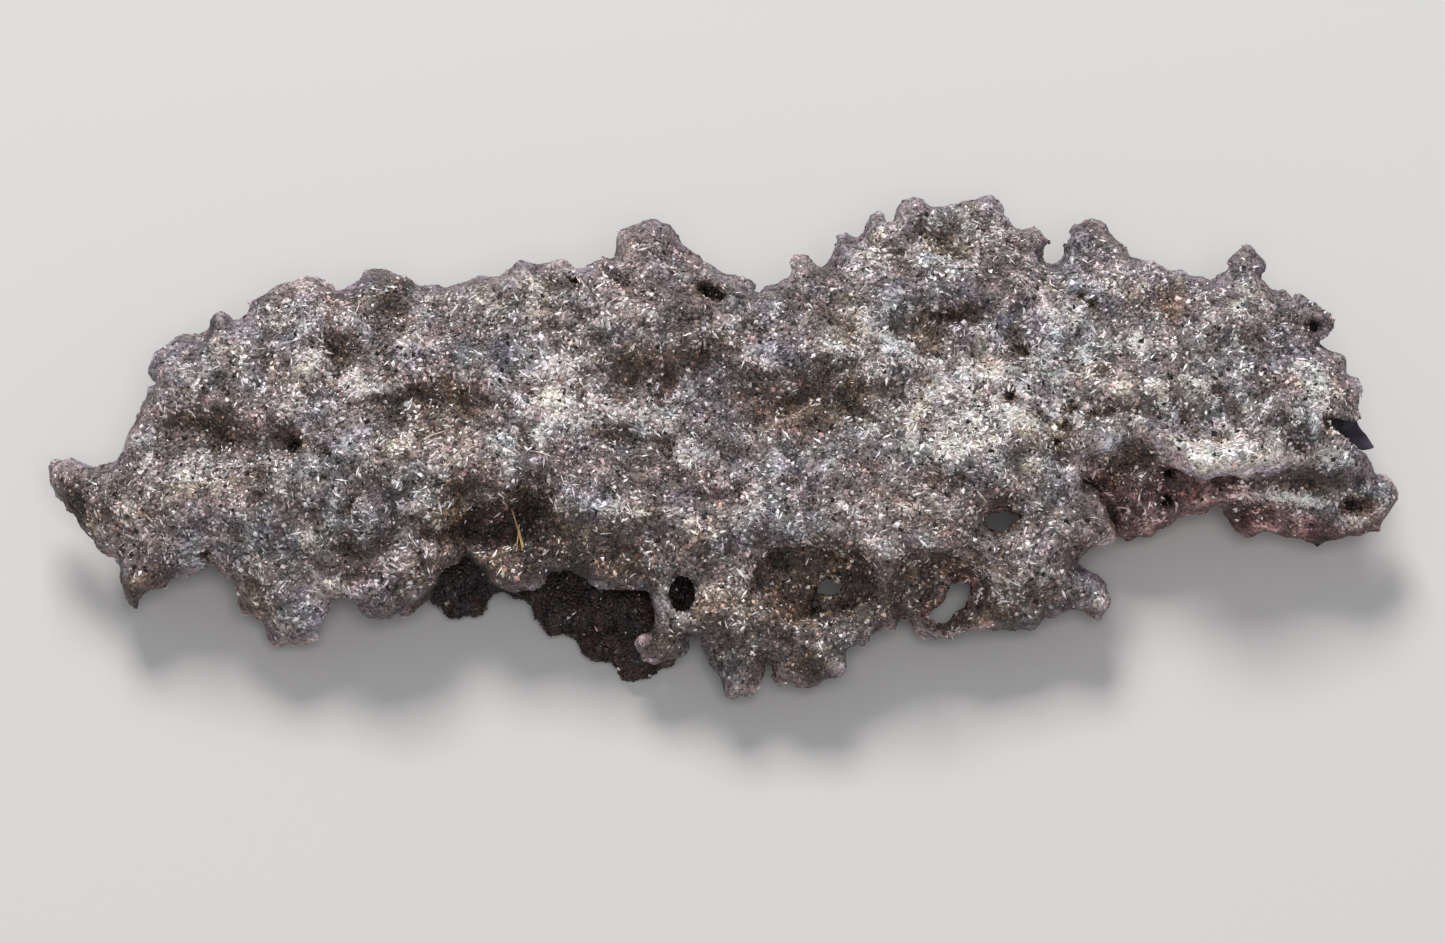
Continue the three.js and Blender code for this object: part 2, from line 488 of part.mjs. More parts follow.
/** Below 0 inside the fused sand, above 0 in the air. */
function lumpField(p, column) {
  const { side, upper, hole, keelHole, pit } = column;
  const whole = smoothMin(sheetField(p, column), bellyField(p, column), BLEND);
  const bored = smoothMax(whole, -boreDistance(p), BORE_ROUNDING);
  const torn = Math.max(bored, -Math.max(hole - HOLE_EASE, HOLE_FLOOR - p.z));
  const holed = Math.max(torn, -Math.max(keelHole, KEEL_HOLE_FLOOR - p.z));
  const pitted = Math.max(holed, -Math.max(pit, upper - BACK_PIT_DEPTH - p.z));
  const slotted = Math.max(pitted, -Math.max(side.slot, LINING_W - p.z));
  return Math.min(slotted, plate(side.lining, p.z - LINING_W, LINING_HALF));
}

// ---------------------------------------------------------------- from the field to a mesh
/** The field at every point of the grid, with a way to look it up. */
function sampleField() {
  const counts = ["x", "y", "z"].map((axis) => Math.ceil((GRID_HIGH[axis] - GRID_LOW[axis]) / CELL) + 1);
  const [nu, nv, nw] = counts;
  const values = new Float64Array(nu * nv * nw);
  const pointAt = (i, j, k) => new THREE.Vector3(i, j, k).multiplyScalar(CELL).add(GRID_LOW);
  const indexOf = (i, j, k) => (k * nv + j) * nu + i;
  for (let j = 0; j < nv; j++) {
    for (let i = 0; i < nu; i++) {
      const foot = pointAt(i, j, 0);
      const column = columnAt(foot.x, foot.y);
      for (let k = 0; k < nw; k++) values[indexOf(i, j, k)] = lumpField(pointAt(i, j, k), column);
    }
  }
  return { counts, pointAt, valueAt: (i, j, k) => values[indexOf(i, j, k)] };
}

/** The corners of the triangles that one cell of the grid adds, three points to a triangle. */
function cellTriangles({ pointAt, valueAt }, i, j, k) {
  const corners = CORNERS.map(([di, dj, dk]) => ({
    value: valueAt(i + di, j + dj, k + dk),
    point: pointAt(i + di, j + dj, k + dk),
  }));
  const code = corners.reduce((bits, corner, n) => bits | (corner.value > 0 ? 1 << n : 0), 0);
  if (edgeTable[code] === 0) return [];
  const points = [];
  const rowLength = 16;
  for (let n = code * rowLength; triTable[n] !== -1; n++) {
    const [a, b] = EDGES[triTable[n]].map((corner) => corners[corner]);
    const share = a.value / (a.value - b.value);
    const kept = THREE.MathUtils.clamp(share, EDGE_CLEARANCE, 1 - EDGE_CLEARANCE);
    points.push(a.point.clone().lerp(b.point, kept));
  }
  return points;
}

function surfaceOfField() {
  const grid = sampleField();
  const [nu, nv, nw] = grid.counts;
  const points = [];
  for (let k = 0; k < nw - 1; k++) {
    for (let j = 0; j < nv - 1; j++) {
      for (let i = 0; i < nu - 1; i++) points.push(...cellTriangles(grid, i, j, k));
    }
  }
  const geometry = new THREE.BufferGeometry().setFromPoints(points);
  return mergeVertices(geometry, 1e-3);
}

// ---------------------------------------------------------------- placing and flattening the feet
function placeOnGround(geometry) {
  geometry.rotateX(SLAB_LEAN);
  geometry.translate(CENTRE_SHIFT_X, CENTRE_SHIFT_Y, SLAB_HEIGHT);
  return geometry;
}

/** A geometry as a manifold-3d solid. */
function solidOf(geometry) {
  const bare = new THREE.BufferGeometry().setAttribute("position", geometry.getAttribute("position"));
  bare.setIndex(geometry.getIndex());
  const merged = mergeVertices(bare, 1e-3);
  return new wasm.Manifold(
    new wasm.Mesh({
      numProp: 3,
      vertProperties: new Float32Array(merged.getAttribute("position").array),
      triVerts: new Uint32Array(merged.getIndex().array),
    }),
  );
}

function geometryOf(solid) {
  const { vertProperties, triVerts } = solid.getMesh();
  const geometry = new THREE.BufferGeometry();
  geometry.setAttribute("position", new THREE.BufferAttribute(new Float32Array(vertProperties), 3));
  geometry.setIndex(new THREE.BufferAttribute(new Uint32Array(triVerts), 1));
  geometry.computeVertexNormals();
  return geometry;
}

/** The largest body of a solid: a crumb at a knob's tip that isn't fused to the rest drops off. */
function withoutCrumbs(solid) {
  return solid.decompose().reduce((big, body) => (body.volume() > big.volume() ? body : big));
}

/** Cuts away all that reaches below the ground, which leaves each foot worn flat. */
function wearFeetFlat(solid) {
  const size = 200;
  const earth = new THREE.BoxGeometry(size, size, size).translate(0, 0, -size / 2);
  return solid.subtract(solidOf(earth));
}

function makeFulgurite() {
  const lump = withoutCrumbs(solidOf(placeOnGround(surfaceOfField())));
  const crust = new THREE.MeshStandardMaterial({ color: 0x777276, roughness: 0.55, metalness: 0 });
  const mesh = new THREE.Mesh(geometryOf(wearFeetFlat(lump)), crust);
  mesh.name = "fulgurite";
  return mesh;
}

const fulgurite = new THREE.Group();
fulgurite.add(makeFulgurite());

export default fulgurite;
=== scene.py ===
"""A sand fulgurite: the looks of a knobbly lump of lightning-fused sand, built around its CAD solid.

The crust is worked out again here, from the same outlines and relief as the CAD solid, on a grid
about four times finer, with more knobs and pores. Sand grains are then scattered over it.
Lengths in this script are in millimetres, in the slab frame that lies in the upper sheet (u along
the length, v across towards the back edge, w out of the upper face), until to_metres() places them.
"""
import math

import bmesh
import bpy
import numpy as np
import openvdb
from mathutils import Matrix, Vector


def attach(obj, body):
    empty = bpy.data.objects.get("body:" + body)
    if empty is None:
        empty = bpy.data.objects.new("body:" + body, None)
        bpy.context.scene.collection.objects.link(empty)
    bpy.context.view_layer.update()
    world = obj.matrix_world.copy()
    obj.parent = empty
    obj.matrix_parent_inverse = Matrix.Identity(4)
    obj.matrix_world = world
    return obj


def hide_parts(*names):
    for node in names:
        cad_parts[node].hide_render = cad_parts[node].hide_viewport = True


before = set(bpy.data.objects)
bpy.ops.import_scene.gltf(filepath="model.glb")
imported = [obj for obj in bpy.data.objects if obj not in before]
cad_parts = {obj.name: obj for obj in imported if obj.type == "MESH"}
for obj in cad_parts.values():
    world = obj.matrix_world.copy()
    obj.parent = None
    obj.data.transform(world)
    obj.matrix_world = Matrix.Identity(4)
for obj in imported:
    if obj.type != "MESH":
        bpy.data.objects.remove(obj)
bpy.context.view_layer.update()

# ---- driving sizes, mm
MM_PER_METRE = 1000
SLAB_LEAN = math.radians(24)  # slab frame against the ground, back edge up
SLAB_ORIGIN = (0.21, -2.23, 12.0)  # where the slab frame's origin is in the part's frame

CELL = 0.42  # pitch of the grid on which the crust is found
GRID_LOW = (-57.0, -23.0, -19.0)
GRID_HIGH = (58.0, 23.0, 6.5)
FIELD_BAND = 2.0  # how far from the surface the field is kept

SHEET_HALF = 1.5  # half the thickness of a fused sheet
SHEET_SWELL = 0.08  # how far the sheets' skin stands out of their outlines
BLEND = 2.2  # radius of the fillet where two masses fuse
KEEL_BLEND = 1.2  # the same where a keel meets the sheet
SHEET_BLEND = 1.0  # the same where two sheets meet
BELLY_BLEND = 1.5  # radius of the belly's upper edge
BELLY_LOW = 3.2  # the belly's underside above the ground
BELLY_ROUND = 6.0  # how far in from its outline the belly reaches its full depth
RIM_REACH = 4.5  # the rim curls within this distance of the outline
RIM_DROOP = 1.2  # how far the rim hangs on the whole

# The upper sheet's arch: it falls from its crest line to its back edge, skirt and ends.
ARCH_CREST = 0.9
ARCH_BACK_FROM = -5.0
ARCH_BACK_SLOPE = 0.27
ARCH_BACK_CURVE = 0.004
ARCH_SKIRT_FROM = -10.0
ARCH_SKIRT_SLOPE = 0.12
ARCH_LEFT_FROM = -30.0
ARCH_RIGHT_FROM = 38.0
ARCH_END_CURVE = 0.006
# The lower sheet is deep in the recess and rises to the right wing between two values of u.
RECESS_W = -5.6
WING_RISE = 2.0
WING_STRETCH = (36.0, 48.0)
# The belly's underside lifts off the ground towards both ends.
LEFT_LIFT = 3.5
RIGHT_LIFT = 1.5
LIFT_STRETCH = (28.0, 52.0)
# The keels' middle: its w, and how it climbs towards the front.
KEEL_W = -6.9
KEEL_FROM = -9.0
KEEL_SLOPE = 0.28

# Layers of knobs and dents: how far they rise and about how far apart they lie. A layer on a
# sheet also has the level at which it cuts the lumps. The last three are finer than the CAD has.
SHEET_BEND = (1.5, 13.0, 0.0)
RIM_CURL = (1.8, 5.0, 4.0)
SHEET_KNOBS = (0.5, 3.8, 8.0)
RECESS_WAVES = (1.2, 4.0, 9.0)
UNDERSIDE_BULGES = (2.2, 6.0, 21.0)
UNDERSIDE_KNOBS = (1.0, 3.0, 30.0)
BELLY_WALL = (1.6, 4.5, None)
BELLY_KNOBS = (0.9, 2.6, None)
SHEET_SKIN = (0.25, 2.6, None)
EDGE_KNOBS = (0.10, 1.5, 3.0)
CRUST_KNOBS = (0.28, 1.7, None)
CRUST_PORES = (0.30, 0.8, None)
BILLOW_ROUND = 2.6  # how sharply the round knobs rise out of their creases
BILLOW_LOW = 0.8  # the creases between the knobs are this deep, as a share of the layer's rise
# Layers that only colour the crust: how much they do and about how far apart their spots lie.
TONE_DRIFT = (0.50, 3.1, None)
TONE_SPOTS = (0.70, 1.2, None)
TONE_CLUSTERS = (0.95, 0.6, None)
WARM_DRIFT = (0.095, 2.4, None)
WARM_SPOTS = (0.070, 0.8, None)
GREEN_DRIFT = (0.035, 2.8, None)
GREEN_SPOTS = (0.050, 0.7, None)
APART = 90.0  # the warm and the green layers are read this far away from the others
# The scramble that all layers are made from: three factors, a stirring factor and a 32-bit mask.
SCRAMBLE_FACTORS = (374761393, 668265263, 1442695041)
SCRAMBLE_STIR = 1274126177
SCRAMBLE_MASK = np.int64(0xFFFFFFFF)

# ---- crust and grains
CRUST_ROUGHNESS = 0.55
CRUST_CELLS_PER_METRE = 4200  # the fused grains in the crust itself, about 0.24 mm across
CRUST_CELL_TONES = (0.35, 2.6)  # the darkest and the brightest of them, as shares of the zone's
CRUST_BUMP = 0.8
CRUST_BUMP_METRES = 0.00015

GRAIN_SEED = 7
GRAIN_PIECES = 4
GRAINS_PER_PIECE = 24000
UPPER_GRAINS_PER_MM2 = 17.0
UNDER_GRAINS_PER_MM2 = 4.0
UPWARD_TILT = (-0.5, 0.1)  # the upward part of the normal, from the underside to the upper face
SPARE_DRAWS = 1.8  # places drawn for each grain, since some fall too close together
GRAIN_GAP = 0.2  # no two grains share a cube of this size
MOST_CELLS = 4096  # more than there are such cubes along any side
GRAIN_RADIUS = (0.08, 0.24)
GRAIN_STRETCH = (0.6, 1.5)
TIP_UNEVEN = (0.8, 1.2)  # how unevenly a grain's tips stand out
GRAIN_PRESSED = 0.3  # how much flatter than wide a grain lies
SPLINTER_SHARE = 0.62  # share of the clear grains that are splinters
SPLINTER_STRETCH = (0.48, 0.58, 2.6)
SPLINTER_PRESSED = 0.8
SOLE_CLEAR = 0.3  # no grain sits lower than this above the ground
RIM_BARE = 1.2  # the glass is bare and smooth within this distance of the rim
RIM_KEPT = 0.45  # share of the grains that are left there
GRAIN_LIFT = 0.2  # share of its radius that a grain's middle stands out of the crust
RIM_SINK = 0.6  # how much less that is at the rim
# An octahedron: its six tips and its eight faces. Each grain is one.
TIPS = np.array([(1, 0, 0), (-1, 0, 0), (0, 1, 0), (0, -1, 0), (0, 0, 1), (0, 0, -1)], float)
TIP_FACES = np.array([
    (0, 2, 4), (2, 1, 4), (1, 3, 4), (3, 0, 4), (2, 0, 5), (1, 2, 5), (3, 1, 5), (0, 3, 5),
])
GRAIN_UV = ((0.3, 0.3), (0.7, 0.3), (0.5, 0.7))  # its faces in its own square of the UV map

TONE_SPREAD = 0.66  # how much the grains' tones differ
TINT_SPREAD = (0.7, 1.4)  # how strongly a grain takes the tint of its zone
TONE_LIMITS = (0.004, 0.93)
CLEAR_SHARE = 0.115  # share of clear white grains where no patch lies
CLEAR_SHIFTS = (0.42, -0.06, 0.12)  # what paleness, darkness and clusters add to that
CLEAR_TONE = (0.45, 0.93)
CLEAR_TINT = 0.5  # how much of the tint a clear grain takes
CLEAR_DARK = 0.25  # and how much of the darkness in it
SOOT_SHARE = 0.04  # share of black specks
SOOT_TONE = 0.012
TIP_ENCLOSURE = (0.28, 0.40)  # enclosure from the very tips of the knobs to the open face
TIP_EVEN = 0.4  # how much less the tones differ on the tips
TIP_UNCLEAR = 0.6  # and how many fewer clear grains there are
GLOSSY = 0.12  # roughness of the glassiest grain
DULL = 0.65  # and of the dullest one
GLOSS_SKEW = 0.7  # below 1 there are more glassy grains than dull ones

# ---- outlines, (u, v) in mm
LEFT_TIP = [
    (-52.6, -7), (-53.3, -5.6), (-54.6, -4.2), (-55.3, -2.9), (-54.9, -1.7), (-54, -1.2), (-52.8, -1.5),
    (-51.2, -1.8), (-49.7, -1.5), (-48.9, 0.7), (-47.4, 2.8), (-46.7, 4.3), (-46.9, 5.6), (-46.9, 7),
]
TOP_LEFT_EDGE = [
    (-45.4, 8.8), (-44.4, 8.9), (-43.5, 8.5), (-42.2, 9.5), (-41.9, 10.5), (-41.2, 10.8), (-40.3, 9.9),
    (-39.2, 10.4), (-38.8, 12), (-37.2, 12.9), (-34, 13.8), (-32.6, 13), (-31.4, 12.8), (-30.2, 13.4),
    (-29.6, 14.1), (-27.2, 14.4), (-25.8, 14.2), (-25.3, 13.1), (-23.3, 12.9), (-21, 13.5), (-19.8, 14),
    (-18.2, 13.9), (-16.7, 15.1), (-15.5, 14.6), (-14.4, 15.1), (-13, 15.2), (-11.4, 14.5),
    (-10.2, 15.8), (-9, 15.5), (-8.5, 17.4), (-7, 18.3), (-5.2, 18.6), (-4, 17.4), (-2.9, 16.2),
    (-1.3, 14.9), (0.3, 13.8),
]
TOP_RIGHT_EDGE = [
    (1.3, 13.2), (2.5, 12.4), (4.2, 13.1), (5.4, 14.1), (5.9, 15.6), (6.7, 15.6), (7.2, 14.8),
    (8.2, 14.6), (8.9, 15.8), (9.3, 17), (10.1, 17.5), (10.9, 17.1), (12, 18.6), (13, 19), (13.9, 18.3),
    (14.7, 20), (15.7, 20.4), (16.7, 19.9), (18, 19.9), (20.2, 20.4), (22.4, 21), (23.2, 19.6),
    (24.2, 18.3), (25.8, 18.1), (26.7, 17.1), (26.7, 15.2), (27.9, 15.1), (28.5, 16.7), (28.7, 17.9),
    (29.5, 18.5), (30.8, 18.5), (31.9, 17.9), (32.5, 16.8), (33.2, 15.8), (34.8, 15.3), (37, 14.5),
    (38.5, 14), (41, 13.7), (41.8, 14.4), (42, 15.5), (42.8, 16.1), (43.8, 16), (44.4, 15.2),
    (44.4, 13.6), (45.4, 12.6), (47, 11.8),
]
RIGHT_END = [
    (48.6, 10), (48.9, 8.7), (49.8, 7.7), (51.2, 6.8), (51.5, 5.7), (52.5, 4.8), (52.4, 3.6),
    (52.5, 2.5), (52.9, 0.8), (53.2, -0.2), (52.4, -0.5), (52.7, -1.5), (53.1, -2.7),
]
LIP_EDGE = [
    (50, -2.6), (47, -2.4), (44.3, -2.2), (41.5, -2.5), (39.2, -2.9), (38.2, -2.7), (36.8, -1),
    (35.6, 0), (34.2, 0.8), (33, 0.7), (31.6, 0), (30.2, -0.5), (29.2, -1.6),
]
SKIRT_EDGE = [
    (29.2, -2.8), (29.7, -4), (31, -5.2), (31.9, -6.9), (30.9, -8.4), (29.7, -9), (29.3, -10),
    (30.6, -11.2), (31.4, -12.6), (31.3, -13.7), (30.1, -14), (28.5, -13.4), (26.8, -13.8),
    (25.2, -14.8), (23, -15.1), (20.3, -15.4), (17.5, -15.8), (16.1, -15.4), (15.2, -14.3),
    (14.5, -13.5), (13.9, -14.7), (12.8, -14.6), (12.1, -15.9), (9.9, -17), (9.6, -18.4), (7.7, -19.5),
    (5.6, -19.5), (4.6, -18.8), (4.2, -17.7), (3.5, -17.4), (3, -18.6), (2.4, -20), (0.4, -20.8),
    (-0.5, -19.2), (-1.5, -17.2), (-1.9, -15.7), (-2.9, -15.9), (-3.8, -17.3), (-5.2, -17.4),
    (-6.7, -17.3), (-7.1, -16.2), (-5.5, -14.9), (-5.7, -12.8),
]
FRONT_LEFT_EDGE = [
    (-6.6, -11.8), (-8.4, -11.6), (-10.2, -11), (-12.5, -10.2), (-14.4, -10.3), (-15.8, -11.8),
    (-18.6, -11.5), (-20, -10), (-21.5, -9.1), (-22.7, -10.3), (-23.8, -12.1), (-25.4, -13.1),
    (-26.6, -13.8), (-28.2, -14.2), (-29.4, -13.4), (-30.7, -12.5), (-32.6, -12.3), (-32.5, -13.8),
    (-33.3, -15.5), (-35.1, -16.2), (-37, -16.4), (-37.5, -14.8), (-39, -13.8), (-39.5, -11.6),
    (-40.7, -10.6), (-42.3, -9.9), (-43.5, -10.5), (-45, -10.3), (-46.1, -11.7), (-47.4, -12.1),
    (-48.2, -13.4), (-49, -12.7), (-49.4, -10.6), (-50.3, -8.9), (-51.7, -8.2),
]
# The lower sheet shows below the lip at the right: a recessed wall, then the right wing.
LOWER_SHEET_OUTLINE = [
    (29, -3.5), (31.9, -7), (33.2, -7.7), (34.5, -7.6), (36.3, -6.9), (37.9, -5.5), (39.3, -5.5),
    (40.7, -5), (41.4, -5.7), (42.3, -7.2), (43.2, -7.6), (44.2, -7.2), (46.2, -7.1), (48.3, -7.8),
    (49.4, -8), (50.4, -7.6), (52, -7.5), (53.4, -6.9), (54.2, -5.7), (55.3, -4.4), (54.9, -2.7),
    (53.4, -2.2), (52, 1), (48, 4), (40, 5), (30, 4),
]
BELLY_OUTLINE = [
    (-49.5, -6), (-48.5, -3), (-45, 3), (-40, 7.5), (-30, 10.5), (-18, 11), (-6, 12.5), (6, 11),
    (16, 16), (24, 15), (36, 11.5), (46, 8.5), (50.5, 3), (49.5, 0), (44, -0.4), (40.5, -0.8),
    (37.5, 0.2), (35, 2), (31.5, 2.4), (28, 0), (26, -3), (20, -3), (8, -5.5), (-1, -9), (-6, -9.5),
    (-14, -9), (-24, -8.5), (-34, -9.5), (-42, -8), (-46.5, -9),
]
FRONT_KEEL_OUTLINE = [
    (-16.5, -7.5), (-16, -12.5), (-15.2, -14), (-14.5, -15.2), (-12.9, -15), (-12.1, -15.6),
    (-11.4, -16.9), (-10.3, -17.7), (-9, -17.8), (-8, -18.9), (-6.6, -19), (-5.3, -18.2), (-4.2, -17.4),
    (-3.4, -15), (-1.9, -13.6), (-1.8, -9),
]
LEFT_KEEL_OUTLINE = [
    (-25.5, -7.5), (-24, -12.3), (-23.2, -13.7), (-21.5, -14.1), (-20, -13.9), (-19.3, -12.4),
    (-16, -12.1), (-14.5, -8),
]

OUTLINES = {
    "upper": LEFT_TIP + TOP_LEFT_EDGE + TOP_RIGHT_EDGE + RIGHT_END + LIP_EDGE + SKIRT_EDGE
    + FRONT_LEFT_EDGE,
    "lower": LOWER_SHEET_OUTLINE,
    "belly": BELLY_OUTLINE,
    "front_keel": FRONT_KEEL_OUTLINE,
    "left_keel": LEFT_KEEL_OUTLINE,
}

# ---- relief of the upper face
# Humps and hollows: (u, v, radius along u, radius along v, height), height below 0 for a hollow.
RELIEF = [
    (-44.5, 4.8, 3.2, 2.6, 1), (-43, 0.6, 4, 2, -1), (-41.5, -4.8, 5.5, 2.2, 1.2),
    (-51, -2.6, 3, 1.4, 0.6), (-35, -0.2, 1.8, 0.8, -0.8), (-36.5, 2.8, 3, 1.5, 0.7),
    (-34.5, -3.6, 2.2, 1.8, 0.8), (-31.2, 8, 2.2, 2, -0.4), (-31, 10.6, 3, 1.8, 1),
    (-26.6, 10.9, 1.4, 1.3, -0.8), (-24, 7.4, 4.5, 1.7, 1.2), (-25, 2.4, 4.6, 2.3, -1.4),
    (-19.5, 6.5, 2.5, 2.5, 0.8), (-28, -2, 4, 1.8, 0.6), (-22, -1.8, 4, 1.5, 0.9),
    (-18.8, -7, 3.6, 2.2, -1.9), (-15.7, -5.2, 2, 1.6, -1.5), (-13, -1.5, 4, 2, 0.8),
    (-8.5, 0.6, 1.6, 1.2, -1.1), (-6.5, 10.5, 4, 2.2, 1.4), (-6, 5, 4.5, 2, -1.1),
    (-2.5, 8.8, 1.8, 1.2, 0.6), (-5.5, 17.6, 2.2, 1.4, 0.8), (-5.3, 15.5, 2, 1, -0.8),
    (8.5, 3.4, 6, 2.6, -1), (21, -0.8, 4, 3, 1.5), (20.5, 13.2, 4.5, 2.2, 1.4), (21, 9.2, 2.2, 1, 0.7),
    (20, 7.4, 3.5, 1.4, -0.9), (18.5, 10.6, 2.4, 0.8, -0.6), (24, 12.5, 2, 1.6, 0.5),
    (18, 16.6, 2.8, 1.2, -1), (13, 12, 2.5, 2.5, 0.8), (31.2, 2.2, 2.6, 0.9, -0.6),
    (31, 4.6, 3.5, 1.2, 0.9), (36.7, 11.5, 1, 3, -0.9), (33.5, 11.5, 2.2, 3, 0.6),
    (40, 10.5, 2.2, 3, 0.8), (44.8, 7.5, 2, 2.5, -0.8), (47.5, 2.8, 4, 1.8, 1.1), (40, 3.5, 3, 2, -0.7),
    (22.8, -5.9, 1.9, 1.4, -1.3), (13.2, -11.5, 1.2, 2.5, 0.9), (17.2, -2.7, 1.8, 1.2, -0.9),
    (-36, -13, 2.5, 2.5, 0.6), (1.5, -16, 1.6, 3, 0.7), (16.8, -7.6, 1.4, 1.1, 0.8),
    (19.2, -6.7, 1, 0.8, -0.7), (11.2, -7.6, 1.6, 1.2, 0.6), (2.5, -5.9, 1.5, 1.1, 0.7),
    (7.8, -13, 4, 3, -1),
]
# Bowls with steep walls and a flat floor, in the same form.
BOWLS = [
    (7.4, -10.9, 4.7, 3.3, -2.3), (17.9, -11.9, 3.9, 3.1, -2.4), (-18.6, -6.6, 3.2, 1.9, -1.3),
    (-24.6, 3.4, 4, 1.7, -0.8),
]
BOWL_STEEPNESS = 3
# Rolled ridges: the points of the crest, the rise and the reach.
RIDGES = [
    ([(-13.5, -4.8), (-9, -5.6), (-4, -6.2)], 0.9, 1.7), ([(3.5, 6.8), (9, 7), (14.5, 6.6)], 0.6, 2.1),
    ([(1, -6.4), (4.5, -6), (8, -7), (11, -8.6), (13.2, -9)], 1.2, 1.2),
    ([(13.5, -8.6), (16, -7.8), (18.5, -7.9), (21, -9.2), (24, -11.3)], 1, 1.2),
    ([(30, -0.1), (33.5, 1.2), (36, 0.3), (38.5, -1.5), (41.5, -1.6), (44.5, -1.1)], 2.3, 1.25),
]
# The same for the lower sheet.
LOWER_RELIEF = [
    (29.9, -3.8, 0.8, 1.1, -2.6), (31.9, -5.9, 0.6, 1, -2), (42.8, -5.8, 1.5, 1.2, -1.6),
    (52.6, -4.9, 1.2, 0.9, -0.7), (34.5, -5.4, 2, 1.2, 0.8), (33, -3, 1.6, 1.2, 0.7),
]
LOWER_RIDGES = [
    ([(37.5, -5), (40, -4.5), (42.5, -4.2), (45.5, -4.3), (49.5, -4.9)], 1, 0.9),
    ([(50.5, -6.6), (52.6, -6.2), (54.3, -5.4)], 0.9, 0.6),
]

# ---- holes, bore and stumps
# Holes right through the skirt: (u, v, radius along u, radius along v, turn in degrees).
SKIRT_HOLES = [(8.9, -11.4, 1.5, 0.85, 20), (7.5, -13.2, 0.6, 0.6, 0), (22.7, -6, 1.35, 0.95, 0)]
SKIRT_TEAR = [
    (18.8, -11.3), (20.4, -11.4), (20.4, -12.7), (19.5, -13.7), (18.4, -14.6), (17.1, -14.6),
    (16.8, -13.8), (17.5, -13), (18.2, -12.3),
]
HOLE_KNOB = (9.2, -10.7, 0.5)  # a bead that hangs into the first hole: (u, v, radius)
HOLE_FLOOR = -9.0  # the holes go no lower than this w
HOLE_EDGE = (0.5, 0.9, 5.0)  # how uneven their edges are
KEEL_HOLE = (-3.4, -12.1, 1.2, 1.65, 0)  # this one only opens on the keel below the sheet
KEEL_HOLE_FLOOR = -4.6
BACK_PIT = (-1.0, 12.5, 1.3, 0.65, -25)
BACK_PIT_DEPTH = 0.7
# Small pits where gas burst out: (u, v, radius). Each is also painted dark as the shade in it.
GAS_PITS = [
    (27.9, 1.6, 0.5), (27.2, 0.2, 0.4), (30.2, 2.6, 0.35), (28.5, 3, 0.3), (29.4, 12.2, 0.4),
    (30.3, 11.5, 0.4), (-35, -0.2, 0.6), (-12.1, 13.5, 0.45), (23.5, 4, 0.5), (48.5, 9.7, 0.5),
    (7.5, -13.5, 0.5), (49.3, 1.9, 0.6), (36.4, -2.2, 0.6), (36.3, -4.5, 0.6), (51.3, -4.9, 0.6),
    (-42.4, -9, 0.4),
]
PIT_STRETCH = 2.0  # they are this many times as deep as wide
PIT_SHADE = 1.4  # the strength of the painted shade in each
# The flattened bore, from its mouth at the right end to where it pinches out.
BORE = [(57, 0.6, -4.4), (50, 1, -4.9), (40, 2, -6.8), (24, 2.5, -8.2), (8, 0, -7.8), (-2, -3, -7.4)]
BORE_HALF_WIDTH = 3.2
BORE_HALF_HEIGHT = 1.5
BORE_ROUNDING = 0.8
# The bore's bare glass lining stands out of a slot in the crust at the right end.
LINING_OUTLINE = [
    (49.8, 2.6), (51.9, 2.15), (52.7, 1), (53.4, -0.2), (52.4, -0.55), (51.4, 0), (49.9, 1.2),
]
LINING_W = -3.4  # its lower face
LINING_HALF = 0.4
LINING_TAPER = 0.5  # how much thinner it is at its outer end
SLOT = [
    (49.1, 2.3), (50.3, 2.25), (52.2, 2), (54.5, 1.8), (54.5, -0.8), (52.3, -0.5), (51.2, 0.1),
    (50.3, 0.9), (49.4, 1.6),
]
LINING_BEND = 0.25  # how far it bends down at LINING_REACH from its crest, which lies across it
LINING_CREST = 50.5
LINING_REACH = 2.5
LINING_CUTS = 3  # how finely the flake is divided
LINING_WAVES = (0.2, 1.4, None)
LINING_CHIPS = (0.22, 0.8, None)  # how uneven its outline is
LINING_WEAR = 0.12  # radius of its worn edges
LINING_TONES = ((0.011, 0.009, 0.015), (0.060, 0.049, 0.076))  # at its inner and its outer end; the darker inner end is painted shade
LINING_SHADE = (0.2, 1.1)  # shares of its length between which the tone changes
LINING_ROUGHNESS = 0.42
LINING_GLOSS = 0.2  # it mirrors less than clean glass does
LINING_STREAKS_PER_METRE = 900
LINING_STREAK_DETAIL = 4
STREAK_RANGE = (0.3, 0.7)
STREAK_TONES = (0.5, 1.6)
# The worn stumps that it rests on: top, foot and the radius at each.
STUMPS = [
    ((-44.5, -5, -2.5), (-47.5, -10.1, -8.6), (3.2, 1.8)), ((-9, -13, -6.6), (-7.2, -17, -6), (2, 2.2)),
    ((34, 2, -8), (37, 2.5, -15.6), (7, 3.4)), ((-24, 1, -7), (-27, 3, -15.6), (7, 2.8)),
]
# The curled knob behind the top right corner: (u, v, w, radius).
REAR_KNOBS = [(47.6, 10.4, -5.6, 1.7), (48.7, 9.9, -5, 1.4)]

# Dry plant fibres that cling to the front hollow, each as points (u, v, w).
FIBRES = [
    [(-17.4, -5, -0.9), (-17, -6.2, -0.8), (-16.6, -7.5, -0.2), (-16.4, -8.6, 0.4)],
    [(-16.7, -6.5, -0.9), (-16.8, -7.6, -0.3), (-16.9, -9, 0.5)],
    [(-16.7, -6.9, -0.8), (-16.5, -7.7, -0.2), (-16.3, -8.4, 0.3)],
]
FIBRE_RADIUS = 0.06
